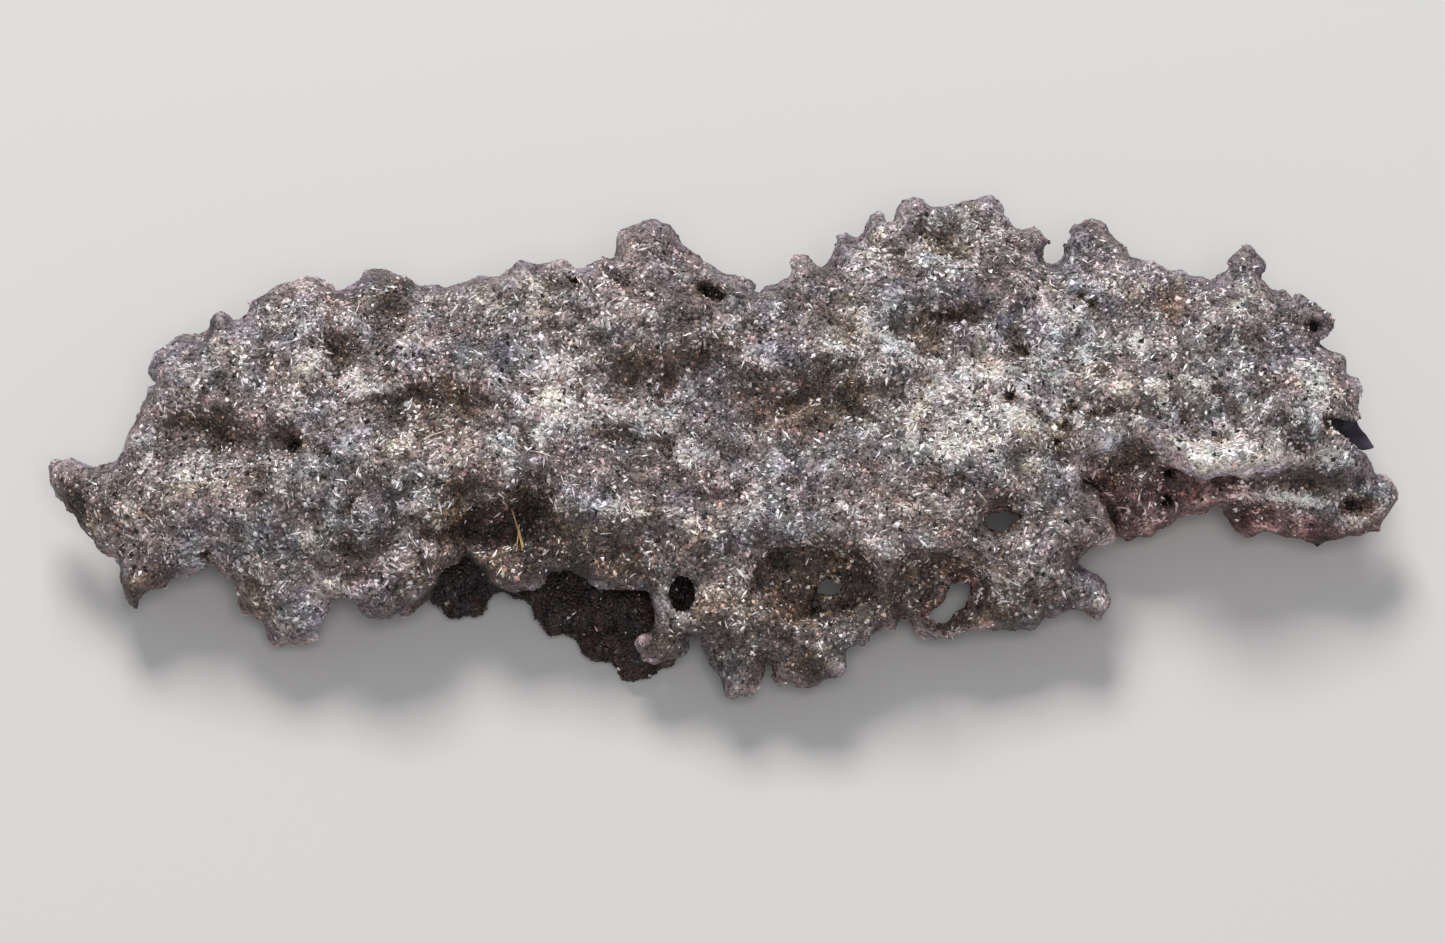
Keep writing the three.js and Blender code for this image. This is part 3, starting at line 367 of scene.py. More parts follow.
# Fine pale hairs that lie on the crust, each as points (u, v).
HAIRS = [
    [(-15.8, -0.5), (-15, -0.5), (-14.1, -0.9)], [(-13.7, -1.6), (-13.2, -2.3), (-13, -3.2)],
    [(-9.5, -3.2), (-9.1, -3.4), (-8.8, -3.8)], [(29.3, -2.4), (29.8, -2.9), (30.4, -3.1)],
    [(29.9, -5.9), (30.6, -5.9), (31.1, -6.3)], [(39.9, -1.9), (40.8, -2.1), (41.7, -2)],
    [(-36.4, 9.4), (-36, 10.2), (-35.4, 10.6)], [(-30.3, 10.6), (-29.8, 11.2), (-29.9, 11.9)],
    [(-24.4, 0.5), (-23, 1.2), (-21.5, 1.3)], [(15, 1.4), (15.6, 2.6), (16.6, 3.2)],
    [(-7.4, -5.2), (-6.9, -5.6), (-6.2, -5.5)], [(-8, -4.6), (-7.5, -5.1), (-7.4, -5.9)],
    [(-1.6, -7), (-1, -7.2), (-0.4, -6.9)], [(20.4, -3.6), (21, -4), (21.4, -4.7)],
]
HAIR_RADIUS = 0.045
HAIR_LIFT = 0.35  # their height above the crust, so that they clear its grains
STRAND_ROUGHNESS = 0.5
STRAND_MOTTLES_PER_METRE = 1500
STRAND_STOPS = (0.35, 0.65)
FIBRE_TONES = ((0.24, 0.14, 0.05), (0.52, 0.34, 0.16))  # dark and light places, in linear light
HAIR_TONES = ((0.45, 0.36, 0.27), (0.85, 0.80, 0.72))

# ---- patches of colour, and of painted shade and highlight
# Each patch: (u, v, reach along u, reach along v, strength). It fades out beyond its reach.
PATCH_FADE = 0.7
# Pale patches: mostly whiter sand; those along the lip's crest at the right are partly painted
# highlight.
PALE_PATCHES = [
    (-51, -2.5, 2, 1, 0.3), (-46.5, -2.2, 2.2, 1.3, 0.5), (-43, -1.8, 2.2, 1, 0.3),
    (-39.5, -4.8, 1.8, 1.2, 0.4), (-30.4, 5.2, 2, 0.9, 1), (-28, 4.7, 1.4, 0.4, 0.6),
    (-33.5, 7.2, 1.6, 1.4, 0.3), (-28.3, 0, 2.4, 0.8, 0.9), (-24.6, 0.7, 1.4, 0.7, 0.8),
    (-22.5, 12.4, 3, 0.7, 0.4), (-27.5, -2.6, 3, 1.4, 0.5), (-13.5, 10.8, 2.4, 1.8, 0.8),
    (-14.5, 6, 2.4, 1.8, 0.7), (-12.2, 3, 2.4, 1.6, 0.8), (-16.5, 0.9, 2.6, 0.9, 0.8),
    (-5.7, 1.8, 1.8, 1, 0.7), (-3.7, 8.8, 1.6, 1, 0.8), (-2.2, -0.4, 2.4, 1, 0.7),
    (-7, -5.4, 2, 0.7, 0.6), (2, -4.9, 2.2, 1.2, 0.5), (12, 8, 1.8, 1.6, 0.9), (9.5, 8.6, 2, 1.2, 0.5),
    (13.5, 1.2, 2.2, 1.2, 0.6), (17, 4.2, 1.8, 1.2, 0.9), (20.5, 6.2, 2.4, 1.2, 1),
    (20.5, 1.2, 3.2, 2.2, 0.8), (17.8, -1, 2, 1.2, 0.4), (27, 5.8, 3, 0.9, 0.9), (24.5, 2, 2, 1.6, 0.7),
    (27.5, 11, 2.4, 2.2, 0.5), (30.8, 8, 1.6, 1.3, 0.6), (34.5, 7.8, 2.4, 0.9, 0.7),
    (36, 4.6, 2.4, 1.2, 0.8), (38.8, 4.6, 1.8, 1.4, 0.5), (38.3, -0.4, 2, 0.7, 1.2),
    (42, 0, 2.8, 0.9, 1), (47.5, 5, 2.2, 1.8, 0.8), (49.2, -1, 2.2, 0.9, 0.9), (46.6, 1.4, 1.6, 1, 0.5),
    (24, -2.4, 2.2, 1.2, 0.7), (28.5, -1.2, 1.2, 1, 0.6), (19.5, 15, 2.6, 1.4, 0.4),
    (14, 15.6, 3.4, 2.6, 0.35), (21.8, 17.8, 3, 2, 0.45), (15.2, 10.2, 2.4, 1.1, 0.5),
    (32.8, -3.6, 1.6, 1, 0.6), (30.6, -1.5, 1.2, 0.8, 0.9), (34.8, -5.6, 1.2, 0.8, 0.5),
    (-37, -6.6, 2.4, 1.4, 0.35), (-27, -7.4, 3, 1.4, 0.25), (47.4, -4.6, 1.9, 0.45, 0.9),
    (50.6, -4, 1.4, 0.5, 0.4), (47.8, -5.9, 2.8, 0.8, 0.2), (53.6, -4.2, 1, 0.9, 0.3),
]
# Dark patches: partly browner crust, partly painted shade in hollows, bowls, pits, the recess and under
# the front edge.
DARK_CRUST_AND_SHADE_PATCHES = [
    (-42.5, 1.6, 3, 1.4, 1), (-38.5, 0.4, 1.6, 0.8, 0.5), (-37, 6, 1, 1.6, 0.5),
    (-31.6, 8.8, 2, 2.4, 0.3), (-26.8, 11.6, 0.9, 1.6, 1), (-32, 12.4, 2.4, 1, 0.7),
    (-37.5, 11.6, 1.6, 1.4, 0.4), (-24, 3.6, 3.6, 1.5, 1.3), (-27.6, 5.4, 0.6, 0.3, 1),
    (-35, 0.4, 1.7, 0.6, 0.8), (-37, -2.6, 1.6, 1.6, 0.5), (-42, -3.8, 2, 1, 0.3),
    (-21.6, -3.2, 2.6, 1, 0.7), (-18.6, -6.8, 3, 2, 1.7), (-15.4, -4.6, 1.8, 1.4, 1.1),
    (-14.6, -7.2, 1.6, 1.2, 0.8), (-5.5, 7, 3.4, 1.2, 0.9), (-8.3, 1.2, 1, 0.8, 0.9),
    (-2.8, -2.6, 2.2, 0.8, 0.6), (4.6, 3.8, 2.6, 2.2, 0.6), (7.4, 3.2, 3, 1.8, 0.6),
    (11.8, 3.4, 2.8, 1.8, 0.7), (9.6, 5.2, 2.2, 1.2, 0.5), (0.5, 8.5, 2.4, 1.6, 0.5),
    (17, 9, 1, 1.6, 0.8), (19.5, 10.8, 2, 0.7, 0.8), (24.3, 8, 0.8, 1.4, 0.7),
    (18.4, 16.2, 1.8, 0.9, 0.5), (31.2, 6.2, 1.4, 0.6, 0.9), (32.2, 3.4, 2.2, 0.6, 0.6),
    (36.7, 11, 0.8, 2, 0.8), (42.5, 10.5, 2.4, 1.2, 0.4), (-12, -7.4, 2.6, 1.2, 0.9),
    (-6.8, -8.6, 2.4, 1, 0.8), (17.5, -3, 1.2, 0.7, 0.7), (8, -9.6, 3.8, 1.4, 1.1),
    (7, -13, 3, 1.6, 0.8), (17.6, -10, 3, 1.2, 1.2), (16.6, -12.6, 1.4, 1.2, 0.8),
    (22.8, -6, 1.5, 1.2, 1), (13.2, -14, 1.6, 1.2, 0.9), (8, -18, 2.4, 1.2, 0.8),
    (18, -15, 3, 0.8, 0.7), (-1.2, 12.6, 1.2, 0.6, 1.8), (33.4, -0.9, 2.4, 0.5, 0.7),
    (29.9, -3.8, 0.7, 0.9, 2), (31.9, -5.9, 0.5, 0.9, 2), (37, -3, 1.4, 0.6, 0.9),
    (36.3, -4.6, 0.9, 0.6, 0.9), (43, -3, 3.6, 0.4, 1.4), (49, -2.9, 3.4, 0.4, 1.1),
    (42.8, -5.9, 1.7, 1.2, 1.7), (52.4, -5, 1, 0.6, 0.8), (-53.2, -5.4, 1.1, 1.5, 2.2),
    (-48.4, -12.7, 1.2, 1, 1.4), (-46.5, -11.2, 2.2, 1, 0.9), (-38.6, -12.8, 0.9, 1.6, 0.9),
    (48.6, 9.6, 1, 0.9, 0.7), (-21.5, -11, 2.4, 1.4, 1), (-14, -10.6, 3, 0.6, 0.6),
    (-18.5, -10.2, 3, 1.2, 1.2), (-12, -9.6, 3.8, 1.1, 1.1), (-7, -11, 2, 1.2, 0.8),
    (-14, 13.4, 1.2, 0.9, 0.4), (-1, -14, 1.4, 2, 0.5), (34.4, -4.6, 3.4, 2.4, 1),
    (4.5, -15, 5, 4, 0.6), (19, -13.6, 5, 2.4, 0.5), (-22.5, -5.6, 2, 1.6, 0.8),
    (-10.5, -9.4, 4, 1.2, 0.5), (-49.5, -5.5, 2.6, 2, 0.4), (49.5, -7.6, 4, 0.7, 0.9),
    (-26.8, -9.9, 3.6, 1.8, 0.8), (24, -13, 5, 2, 0.5), (-5.2, -15.6, 1.6, 1.6, 0.6),
]
# Where the keels lie in the front edge's own shadow, and are darkest.
KEEL_SHADE = [(-12, -14, 3.5, 3, 1.5), (-8, -17.4, 2.6, 3, 1.5), (-21.5, -12, 2.6, 2.4, 1.5)]
BLUE_PATCHES = [
    (-18.5, 7, 2.8, 2.2, 0.9), (2, 9, 2.6, 2, 0.7), (8, 6.8, 3, 1, 0.7), (-34.5, -13.4, 2.6, 2.6, 0.5),
    (-38, -7.5, 5, 2.4, 0.4), (-47, -11, 2.4, 2, 0.6), (16, 13, 4, 3, 0.6), (-43, 6, 3, 2, 0.3),
    (1, -16, 3, 4, 0.4), (27.5, -10.5, 3, 2.6, 0.6), (47.5, 1.2, 3, 1, 0.6), (-26, -8.5, 4, 1.6, 0.3),
    (29.5, 14, 2.4, 2.6, 0.4), (-28, -6, 4, 2, 0.4), (43, 6, 3, 3, 0.5), (3.5, -2.5, 3, 1.4, 0.5),
    (17.5, -2, 2.4, 1.2, 0.6), (-31.5, 0.8, 1.6, 1.4, 0.8), (47.4, -5.8, 2.8, 1, 0.9),
    (53.4, -4.6, 1.6, 1.4, 0.9), (46.5, -2.9, 2.6, 0.5, 0.9), (24, 9.5, 2, 2, 0.4),
]
# Thin pale crests where the glass is bare, painted brighter as a highlight where it catches the light:
# points, half width, strength.
PALE_GLASS_AND_HIGHLIGHT_LINES = [
    ([(29.4, -1.4), (30.4, -0.4), (31.8, 0.2), (33.2, 0.9), (34.4, 0.9), (36, 0)], 0.45, 1.2),
    ([(36, 0), (37.5, -1.5), (38.8, -2.2), (41, -2.1), (43.5, -1.9), (45.2, -1.1)], 0.6, 1.8),
    ([(38.4, -5), (40, -4.6), (42, -4.2), (44, -4.2)], 0.3, 0.6),
    ([(45.3, -4.3), (47, -4.5), (49.2, -4.9)], 0.35, 1),
    ([(51.2, -6.5), (52.8, -6.1), (54.3, -5.4)], 0.25, 0.5),
    ([(3, -6.3), (5.5, -6.6), (8, -7.7), (9.5, -8.5), (11, -9.4), (13, -9)], 0.4, 0.6),
    ([(13.5, -8.8), (16, -8.2), (18, -8.4), (20, -9.1), (21.5, -10.1), (23.3, -11.3)], 0.4, 0.7),
    ([(16.2, -15.2), (18, -15.5), (20.5, -15.2)], 0.35, 0.9),
    ([(-30.8, 6), (-29.4, 4.9), (-27.2, 4.7)], 0.4, 0.7),
    ([(15, 2), (16.6, 3.9), (18.8, 4.6)], 0.35, 0.7),
    ([(-34.6, -16.4), (-33, -15.6), (-32.5, -13.8)], 0.35, 0.5),
    ([(-33.2, -11.7), (-31.4, -11.5), (-29.8, -12.3)], 0.4, 0.9),
    ([(-13.6, -4.6), (-10, -5), (-6, -5.6)], 0.5, 0.5),
    ([(29.2, -2.6), (29.6, -4), (30.9, -5.2), (31.7, -6.9), (30.8, -8.2)], 0.35, 0.8),
]

# How the crust's zones are found. Depths are below the arch of the upper sheet; a tilt is the part of
# the normal that points up or down; enclosure is the share of fused sand around a point. Crevices,
# hollows, undersides and the deep places under the front edge are darkened as painted shade.
FACE_TILT = (-0.3, 0.3)  # patches lie on what faces up
FEET_DEPTH = (7.5, 9.5)  # and not on the feet, which are this deep
HOLLOW_REACH = 1.7  # how far around a point hollows are looked for
HOLLOW_ENCLOSURE = (0.54, 0.76)  # from open face to deep hollow
CREVICE_REACH = 0.85  # the same for crevices
CREVICE_SHADE = 2.4  # how much darker a crevice is painted than a tip: painted shade
UNDER_TILT = (-0.2, 0.6)  # what faces down, and is darkened as painted shade
DEEP_DEPTH = (2.5, 4.0)  # the deep places, darkened as painted shade: how far down
DEEP_FRONT = (7.0, 9.0)  # and how far in front of the middle they begin
KEEL_DEPTH = (0.9, 2.0)  # how far down the keels' shadow begins
PALE_SHARES = (0.5, -0.5, -0.2, -0.8)  # what drift, and the painted shade of crevices, hollows, undersides and deep places, add to
DARK_SHARES = (-0.3, 1.0, 0.55, 2.6)  # the paleness and the darkness
ZONE_MOST = (1.3, 2.8, 1.0)  # the most paleness, darkness and blueness
CRUST_CONTRAST = (0.9, -0.9, 0.4)  # what paleness, darkness and clusters do to the crust's tone
GRAIN_CONTRAST = (0.72, -0.85, 0.5)  # and to the grains'
LOW_DEPTH = (1.2, 3.0)  # the low front parts, painted maroon as shade with reddish bounce light: how far down
LOW_FRONT = (-1.0, 1.5)  # and how far in front of the middle they begin
PAINTED_BOUNCE_SHARE = (0.50, 0.32)  # how strongly that painted bounce light shows, and how much more so where it is dark
BLUE_SHARE = 0.9
BROWN_SHARE = 0.9
RIM_SHARE = 0.55

# Colours in linear light.
GREY_TINT = (1.13, 0.93, 0.942)
CREAM_TINT = (1.07, 0.98, 0.91)
BLUE_TINT = (1.00, 0.955, 1.03)
BROWN_TINT = (1.36, 0.92, 0.68)
RIM_GLASS_AND_GLOW_TINT = (1.14, 0.90, 1.02)  # of the bare glass along the rims, with a painted pink glow of light through the thin edge
PAINTED_BOUNCE_TINT = (1.55, 0.80, 0.78)  # painted shade with reddish bounce light, on what lies deep below the upper face
WARM_TURN = (1.0, 0.0, -1.0)  # what a warm spot adds to each colour
GREEN_TURN = (-0.5, 1.0, -0.5)
CRUST_TONE = 0.10  # how bright the fused crust is where no patch lies on it
GRAIN_TONE = 0.165  # the same for the middle one of the grains

# ---- floor, light and camera
FLOOR_METRES = 4
FLOOR_COLOUR = (0.56, 0.55, 0.54, 1)
FLOOR_ROUGHNESS = 0.8
# Each lamp points at the fulgurite: its name, place in metres, width in metres and power in watts.
LIGHTS = [("key", (-0.10, 0.52, 0.62), 0.30, 5.9), ("top", (0.04, -0.34, 0.85), 0.36, 2.9)]
SKY_COLOUR = (0.96, 0.97, 1.0, 1)
SKY_STRENGTH = 0.29
PICTURE_PIXELS = 1445
PIXELS_PER_MM = 12.25
FRAME_WIDTH_MM = PICTURE_PIXELS / PIXELS_PER_MM
FRAME_CENTRE = (-0.08, -2.16, 0.0)  # slab mm at the middle of the picture
CAMERA_DISTANCE_MM = 600.0
SENSOR_MM = 36.0


# ---- plane geometry
def smooth_outline(points, steps=4):
    """The closed outline as a centripetal Catmull-Rom curve, cut into short straight steps."""
    here = np.array(points, float)
    before = np.roll(here, 1, axis=0)
    after = np.roll(here, -1, axis=0)
    beyond = np.roll(here, -2, axis=0)

    def root_gap(a, b):
        return np.sqrt(np.linalg.norm(b - a, axis=1))[:, None]

    g0 = root_gap(before, here)
    g1 = root_gap(here, after)
    g2 = root_gap(after, beyond)
    leaving = ((here - before) / g0 - (after - before) / (g0 + g1) + (after - here) / g1) * g1
    arriving = ((after - here) / g1 - (beyond - here) / (g1 + g2) + (beyond - after) / g2) * g1
    t = (np.arange(steps) / steps)[:, None, None]
    curve = (
        (2 * t**3 - 3 * t**2 + 1) * here
        + (t**3 - 2 * t**2 + t) * leaving
        + (3 * t**2 - 2 * t**3) * after
        + (t**3 - t**2) * arriving
    )
    return curve.transpose(1, 0, 2).reshape(-1, 2)


def distance_to_step(u, v, a, b):
    """Distance to the straight step from a to b."""
    du, dv = b[0] - a[0], b[1] - a[1]
    share = np.clip(((u - a[0]) * du + (v - a[1]) * dv) / (du * du + dv * dv), 0, 1)
    return np.hypot(u - a[0] - share * du, v - a[1] - share * dv)


def signed_distance(u, v, outline):
    """Distance to a closed outline, below 0 inside it."""
    nearest = np.full(u.shape, np.inf)
    inside = np.zeros(u.shape, bool)
    for a, b in zip(outline, np.roll(outline, -1, axis=0)):
        nearest = np.minimum(nearest, distance_to_step(u, v, a, b))
        if a[1] != b[1]:
            straddles = (a[1] > v) != (b[1] > v)
            inside ^= straddles & (u < a[0] + (v - a[1]) * (b[0] - a[0]) / (b[1] - a[1]))
    return np.where(inside, -nearest, nearest)


def distance_to_crest(u, v, crest):
    """Distance to an open line of straight steps."""
    return np.minimum.reduce([distance_to_step(u, v, a, b) for a, b in zip(crest, crest[1:])])


def distance_to_ellipse(u, v, ellipse):
    """Distance to an ellipse that is turned by some degrees, in mm near its rim."""
    cu, cv, ru, rv, turn = ellipse
    angle = math.radians(turn)
    du = (u - cu) * math.cos(angle) + (v - cv) * math.sin(angle)
    dv = (v - cv) * math.cos(angle) - (u - cu) * math.sin(angle)
    return (np.hypot(du / ru, dv / rv) - 1) * min(ru, rv)


# ---- joining and cutting fields
def smooth_min(a, b, k):
    """The lower of two fields, with a fillet that reaches k where they meet."""
    overlap = np.maximum(k - np.abs(a - b), 0) / k
    return np.minimum(a, b) - overlap * overlap * k / 4


def smooth_max(a, b, k):
    return -smooth_min(-a, -b, k)


def smoothstep(x, low, high):
    """An eased step from 0 at low to 1 at high."""
    t = np.clip((x - low) / (high - low), 0, 1)
    return t * t * (3 - 2 * t)


def plate(side, off, half):
    """A rounded plate: side is the distance to its outline, off the height off its middle."""
    return np.hypot(np.maximum(side + half, 0), off) - half


def stump(u, v, w, top, foot, radii):
    """A round stump between two points, (u, v, w), with a radius at each."""
    along = np.subtract(foot, top)
    du, dv, dw = u - top[0], v - top[1], w - top[2]
    share = np.clip((du * along[0] + dv * along[1] + dw * along[2]) / np.dot(along, along), 0, 1)
    off = np.sqrt(
        (du - share * along[0]) ** 2 + (dv - share * along[1]) ** 2 + (dw - share * along[2]) ** 2
    )
    return off - (radii[0] + (radii[1] - radii[0]) * share)


def scramble(i, j, k):
    """A fixed scramble of three whole numbers, from -1 to 1."""
    a, b, c = SCRAMBLE_FACTORS
    mixed = ((i * a) ^ (j * b) ^ (k * c)) & SCRAMBLE_MASK
    stirred = ((mixed ^ (mixed >> 13)) * SCRAMBLE_STIR) & SCRAMBLE_MASK
    return (stirred ^ (stirred >> 16)) / 2.0**31 - 1


def lumps(u, v, w, size):
    """Lumps with one knob or dent about every size mm, from -1 to 1."""
    u, v, w = np.broadcast_arrays(u, v, w)
    axes = [np.asarray(x, float) / size for x in (u, v, w)]
    whole = [np.floor(x).astype(np.int64) for x in axes]
    ease = [(x - n) ** 2 * (3 - 2 * (x - n)) for x, n in zip(axes, whole)]
    total = np.zeros(u.shape)
    for corner in np.ndindex(2, 2, 2):
        shares = [e if far else 1 - e for e, far in zip(ease, corner)]
        value = scramble(*(n + far for n, far in zip(whole, corner)))
        total += value * shares[0] * shares[1] * shares[2]
    return total


# ---- the lump's own surfaces
def layer(kind, u, v, w=None):
    """One of the layers of knobs and dents, at some points. Each layer is turned by an angle of
    its own, so the layers never line up."""
    rise, size, level = kind
    cos, sin = math.cos(size), math.sin(size)
    return rise * lumps(u * cos - v * sin, u * sin + v * cos, level if w is None else w, size)


def billows(kind, u, v, w=None):
    """A layer of round knobs with creases between them."""
    rise, size, level = kind
    return rise * (BILLOW_ROUND * np.abs(layer((1, size, level), u, v, w)) - BILLOW_LOW)


def with_mounds(w, mounds, u, v, steepness=1):
    """A height with some mounds or hollows added to it."""
    for cu, cv, ru, rv, height in mounds:
        off = ((u - cu) / ru) ** 2 + ((v - cv) / rv) ** 2
        w = w + height * np.exp(-(off**steepness))
    return w


def ridges(crests, u, v):
    """How much some rolled ridges rise."""
    return sum(
        rise * np.exp(-((distance_to_crest(u, v, crest) / reach) ** 2))
        for crest, rise, reach in crests
    )


def sheet_arch(u, v):
    """How the whole sheet arches: it falls to its back edge, to its ends and to the skirt."""
    back = np.maximum(v - ARCH_BACK_FROM, 0)
    skirt = np.maximum(ARCH_SKIRT_FROM - v, 0)
    left = np.maximum(ARCH_LEFT_FROM - u, 0)
    right = np.maximum(u - ARCH_RIGHT_FROM, 0)
    across = ARCH_CREST - ARCH_BACK_SLOPE * back - ARCH_BACK_CURVE * back**2
    return across - ARCH_SKIRT_SLOPE * skirt - ARCH_END_CURVE * (left**2 + right**2)


def upper_sheet(u, v, side):
    """w of the middle of the upper sheet, side being the distance to its outline."""
    near_rim = np.clip(1 + side / RIM_REACH, 0, 1) ** 2
    w = sheet_arch(u, v) + layer(SHEET_BEND, u, v) + billows(SHEET_KNOBS, u, v)
    w = w + near_rim * (layer(RIM_CURL, u, v) - RIM_DROOP)
    w = with_mounds(w, RELIEF, u, v)
    return with_mounds(w, BOWLS, u, v, BOWL_STEEPNESS) + ridges(RIDGES, u, v)


def lower_sheet(u, v):
    """w of the middle of the lower sheet, which rises from the recess to the right wing."""
    w = RECESS_W + WING_RISE * smoothstep(u, *WING_STRETCH) + layer(RECESS_WAVES, u, v)
    return with_mounds(w, LOWER_RELIEF, u, v) + ridges(LOWER_RIDGES, u, v)


def pit_distance(u, v, w, face):
    """Distance to the nearest gas pit, face being the w of the face that it opens in."""
    depth = (w - face) / PIT_STRETCH
    parts = [np.sqrt((u - pu) ** 2 + (v - pv) ** 2 + depth**2) - r for pu, pv, r in GAS_PITS]
    return np.minimum.reduce(parts)


def height_above_ground(v, w):
    return SLAB_ORIGIN[2] + v * math.sin(SLAB_LEAN) + w * math.cos(SLAB_LEAN)


def hole_distance(u, v):
    """Distance to the nearest hole or tear that goes right through the skirt."""
    holes = np.minimum.reduce([distance_to_ellipse(u, v, e) for e in SKIRT_HOLES])
    ku, kv, radius = HOLE_KNOB
    holes = np.maximum(holes, radius - np.hypot(u - ku, v - kv))
    tear = signed_distance(u, v, smooth_outline(SKIRT_TEAR))
    return np.minimum(holes, tear) + layer(HOLE_EDGE, u, v)


def belly_underside(u, v, side):
    """w of the belly's underside: full depth in the middle, curving up to its outline."""
    inward = np.clip(-side / BELLY_ROUND, 0, 1)
    depth_share = np.sqrt(1 - (1 - inward) ** 2)
    lift = np.where(u < 0, LEFT_LIFT, RIGHT_LIFT) * smoothstep(np.abs(u), *LIFT_STRETCH)
    knobs = layer(UNDERSIDE_BULGES, u, v) + layer(UNDERSIDE_KNOBS, u, v)
    arch = sheet_arch(u, v)
    ground = -(SLAB_ORIGIN[2] + v * math.sin(SLAB_LEAN)) / math.cos(SLAB_LEAN)
    return arch + (ground + BELLY_LOW + lift + knobs - arch) * depth_share


def bore_distance(u, v, w):
    """The bore: a chain of flattened stumps."""
    flatten = BORE_HALF_HEIGHT / BORE_HALF_WIDTH
    route = [(bu * flatten, bv * flatten, bw) for bu, bv, bw in BORE]
    radii = (BORE_HALF_HEIGHT, BORE_HALF_HEIGHT)
    parts = [stump(u * flatten, v * flatten, w, a, b, radii) for a, b in zip(route, route[1:])]
    return np.minimum.reduce(parts)


# ---- the whole lump as one field
def belly_field(u, v, w, side, upper, underside):
    """The belly with the stumps that it stands on."""
    wall = side + layer(BELLY_WALL, u, v, w)
    field = smooth_max(wall, np.maximum(w - upper, underside - w), BELLY_BLEND)
    for top, foot, radii in STUMPS:
        field = smooth_min(field, stump(u, v, w, top, foot, radii), BLEND)
    return field + layer(BELLY_KNOBS, u, v, w)


def sheet_field(u, v, w, sides, upper, lower, keel):
    """The two sheets, the keels under the front edge and the curled knob at the back."""
    field = plate(sides["upper"] - billows(EDGE_KNOBS, u, v), w - upper, SHEET_HALF)
    field = smooth_min(field, plate(sides["lower"], w - lower, SHEET_HALF), SHEET_BLEND)
    for name in ("front_keel", "left_keel"):
        field = smooth_min(field, plate(sides[name], w - keel, SHEET_HALF), KEEL_BLEND)
    for ku, kv, kw, radius in REAR_KNOBS:
        knob = np.sqrt((u - ku) ** 2 + (v - kv) ** 2 + (w - kw) ** 2) - radius
        field = smooth_min(field, knob, SHEET_BLEND)
    return field - SHEET_SWELL + layer(SHEET_SKIN, u, v, w)


def lump_field():
    """The field on the grid: below 0 inside the fused sand, above 0 in the air."""
    axes = [np.arange(low, high, CELL) for low, high in zip(GRID_LOW, GRID_HIGH)]
    u, v = np.meshgrid(axes[0], axes[1], indexing="ij")
    sides = {
        name: signed_distance(u, v, smooth_outline(outline)) for name, outline in OUTLINES.items()
    }
    upper = upper_sheet(u, v, sides["upper"])[..., None]
    lower = lower_sheet(u, v)[..., None]
    underside = belly_underside(u, v, sides["belly"])[..., None]
    keel = (KEEL_W - KEEL_SLOPE * np.minimum(v - KEEL_FROM, 0))[..., None]
    hole = hole_distance(u, v)[..., None]
    keel_hole = distance_to_ellipse(u, v, KEEL_HOLE)[..., None]
    pit = distance_to_ellipse(u, v, BACK_PIT)[..., None]
    slot = signed_distance(u, v, np.array(SLOT))[..., None]
    sides = {name: side[..., None] for name, side in sides.items()}
    u, v, w = u[..., None], v[..., None], axes[2][None, None, :]

    belly = belly_field(u, v, w, sides["belly"], upper, underside)
    field = smooth_min(sheet_field(u, v, w, sides, upper, lower, keel), belly, BLEND)
    field = field - billows(CRUST_KNOBS, u, v, w) + layer(CRUST_PORES, u, v, w)
    field = smooth_max(field, -bore_distance(u, v, w), BORE_ROUNDING)
    cuts = (
        np.maximum(hole, HOLE_FLOOR - w),
        np.maximum(keel_hole, KEEL_HOLE_FLOOR - w),
        np.maximum(pit, upper - BACK_PIT_DEPTH - w),
        pit_distance(u, v, w, upper + SHEET_HALF),
        pit_distance(u, v, w, lower + SHEET_HALF),
        np.maximum(slot, LINING_W - w),
        height_above_ground(v, w),
    )
    for cut in cuts:
        field = np.maximum(field, -cut)
    return field


def surface_of(field):
    """The field's zero surface: points in slab mm and four-sided faces."""
    grid = openvdb.FloatGrid(background=float(field.max()))
    grid.copyFromArray(np.clip(field, -FIELD_BAND, FIELD_BAND).astype(np.float32))
    points, quads = grid.convertToQuads(0.0)
    points = points.astype(float) * CELL + np.array(GRID_LOW)
    return points, quads.astype(np.int64)


def without_crumbs(points, quads):
    """Drops every small body that isn't fused to the lump."""
    label = np.arange(len(points))
    while True:
        lowest = label[quads].min(axis=1)
        fresh = label.copy()
        np.minimum.at(fresh, quads, np.repeat(lowest[:, None], 4, axis=1))
        fresh = fresh[fresh]
        if np.array_equal(fresh, label):
            break
        label = fresh
    kept = label == np.bincount(label).argmax()
    index = np.cumsum(kept) - 1
    return points[kept], index[quads[kept[quads[:, 0]]]]


def face_crossings(corners):
    """The cross product of each face's diagonals: it stands on the face, twice its area long."""
    return np.cross(corners[:, 2] - corners[:, 0], corners[:, 3] - corners[:, 1])


def normals_of(points, quads):
    """The mean direction of the faces round each point."""
    crossings = face_crossings(points[quads])
    normals = np.zeros_like(points)
    for corner in range(4):
        np.add.at(normals, quads[:, corner], crossings)
    return normals / np.maximum(np.linalg.norm(normals, axis=1), 1e-9)[:, None]


# ---- from the slab to Blender
SLAB_TURN = np.array(Matrix.Rotation(SLAB_LEAN, 3, "X"))


def to_metres(points):
    """Slab millimetres to the part's frame in metres."""
    return (points @ SLAB_TURN.T + np.array(SLAB_ORIGIN)) / MM_PER_METRE


def add_piece(name, mesh, material):
    """Puts a piece in the scene as part of the fulgurite's looks."""
    piece = bpy.data.objects.new(name, mesh)
    bpy.context.scene.collection.objects.link(piece)
    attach(piece, "root")
    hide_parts("fulgurite")
    mesh.materials.append(material)
    return piece


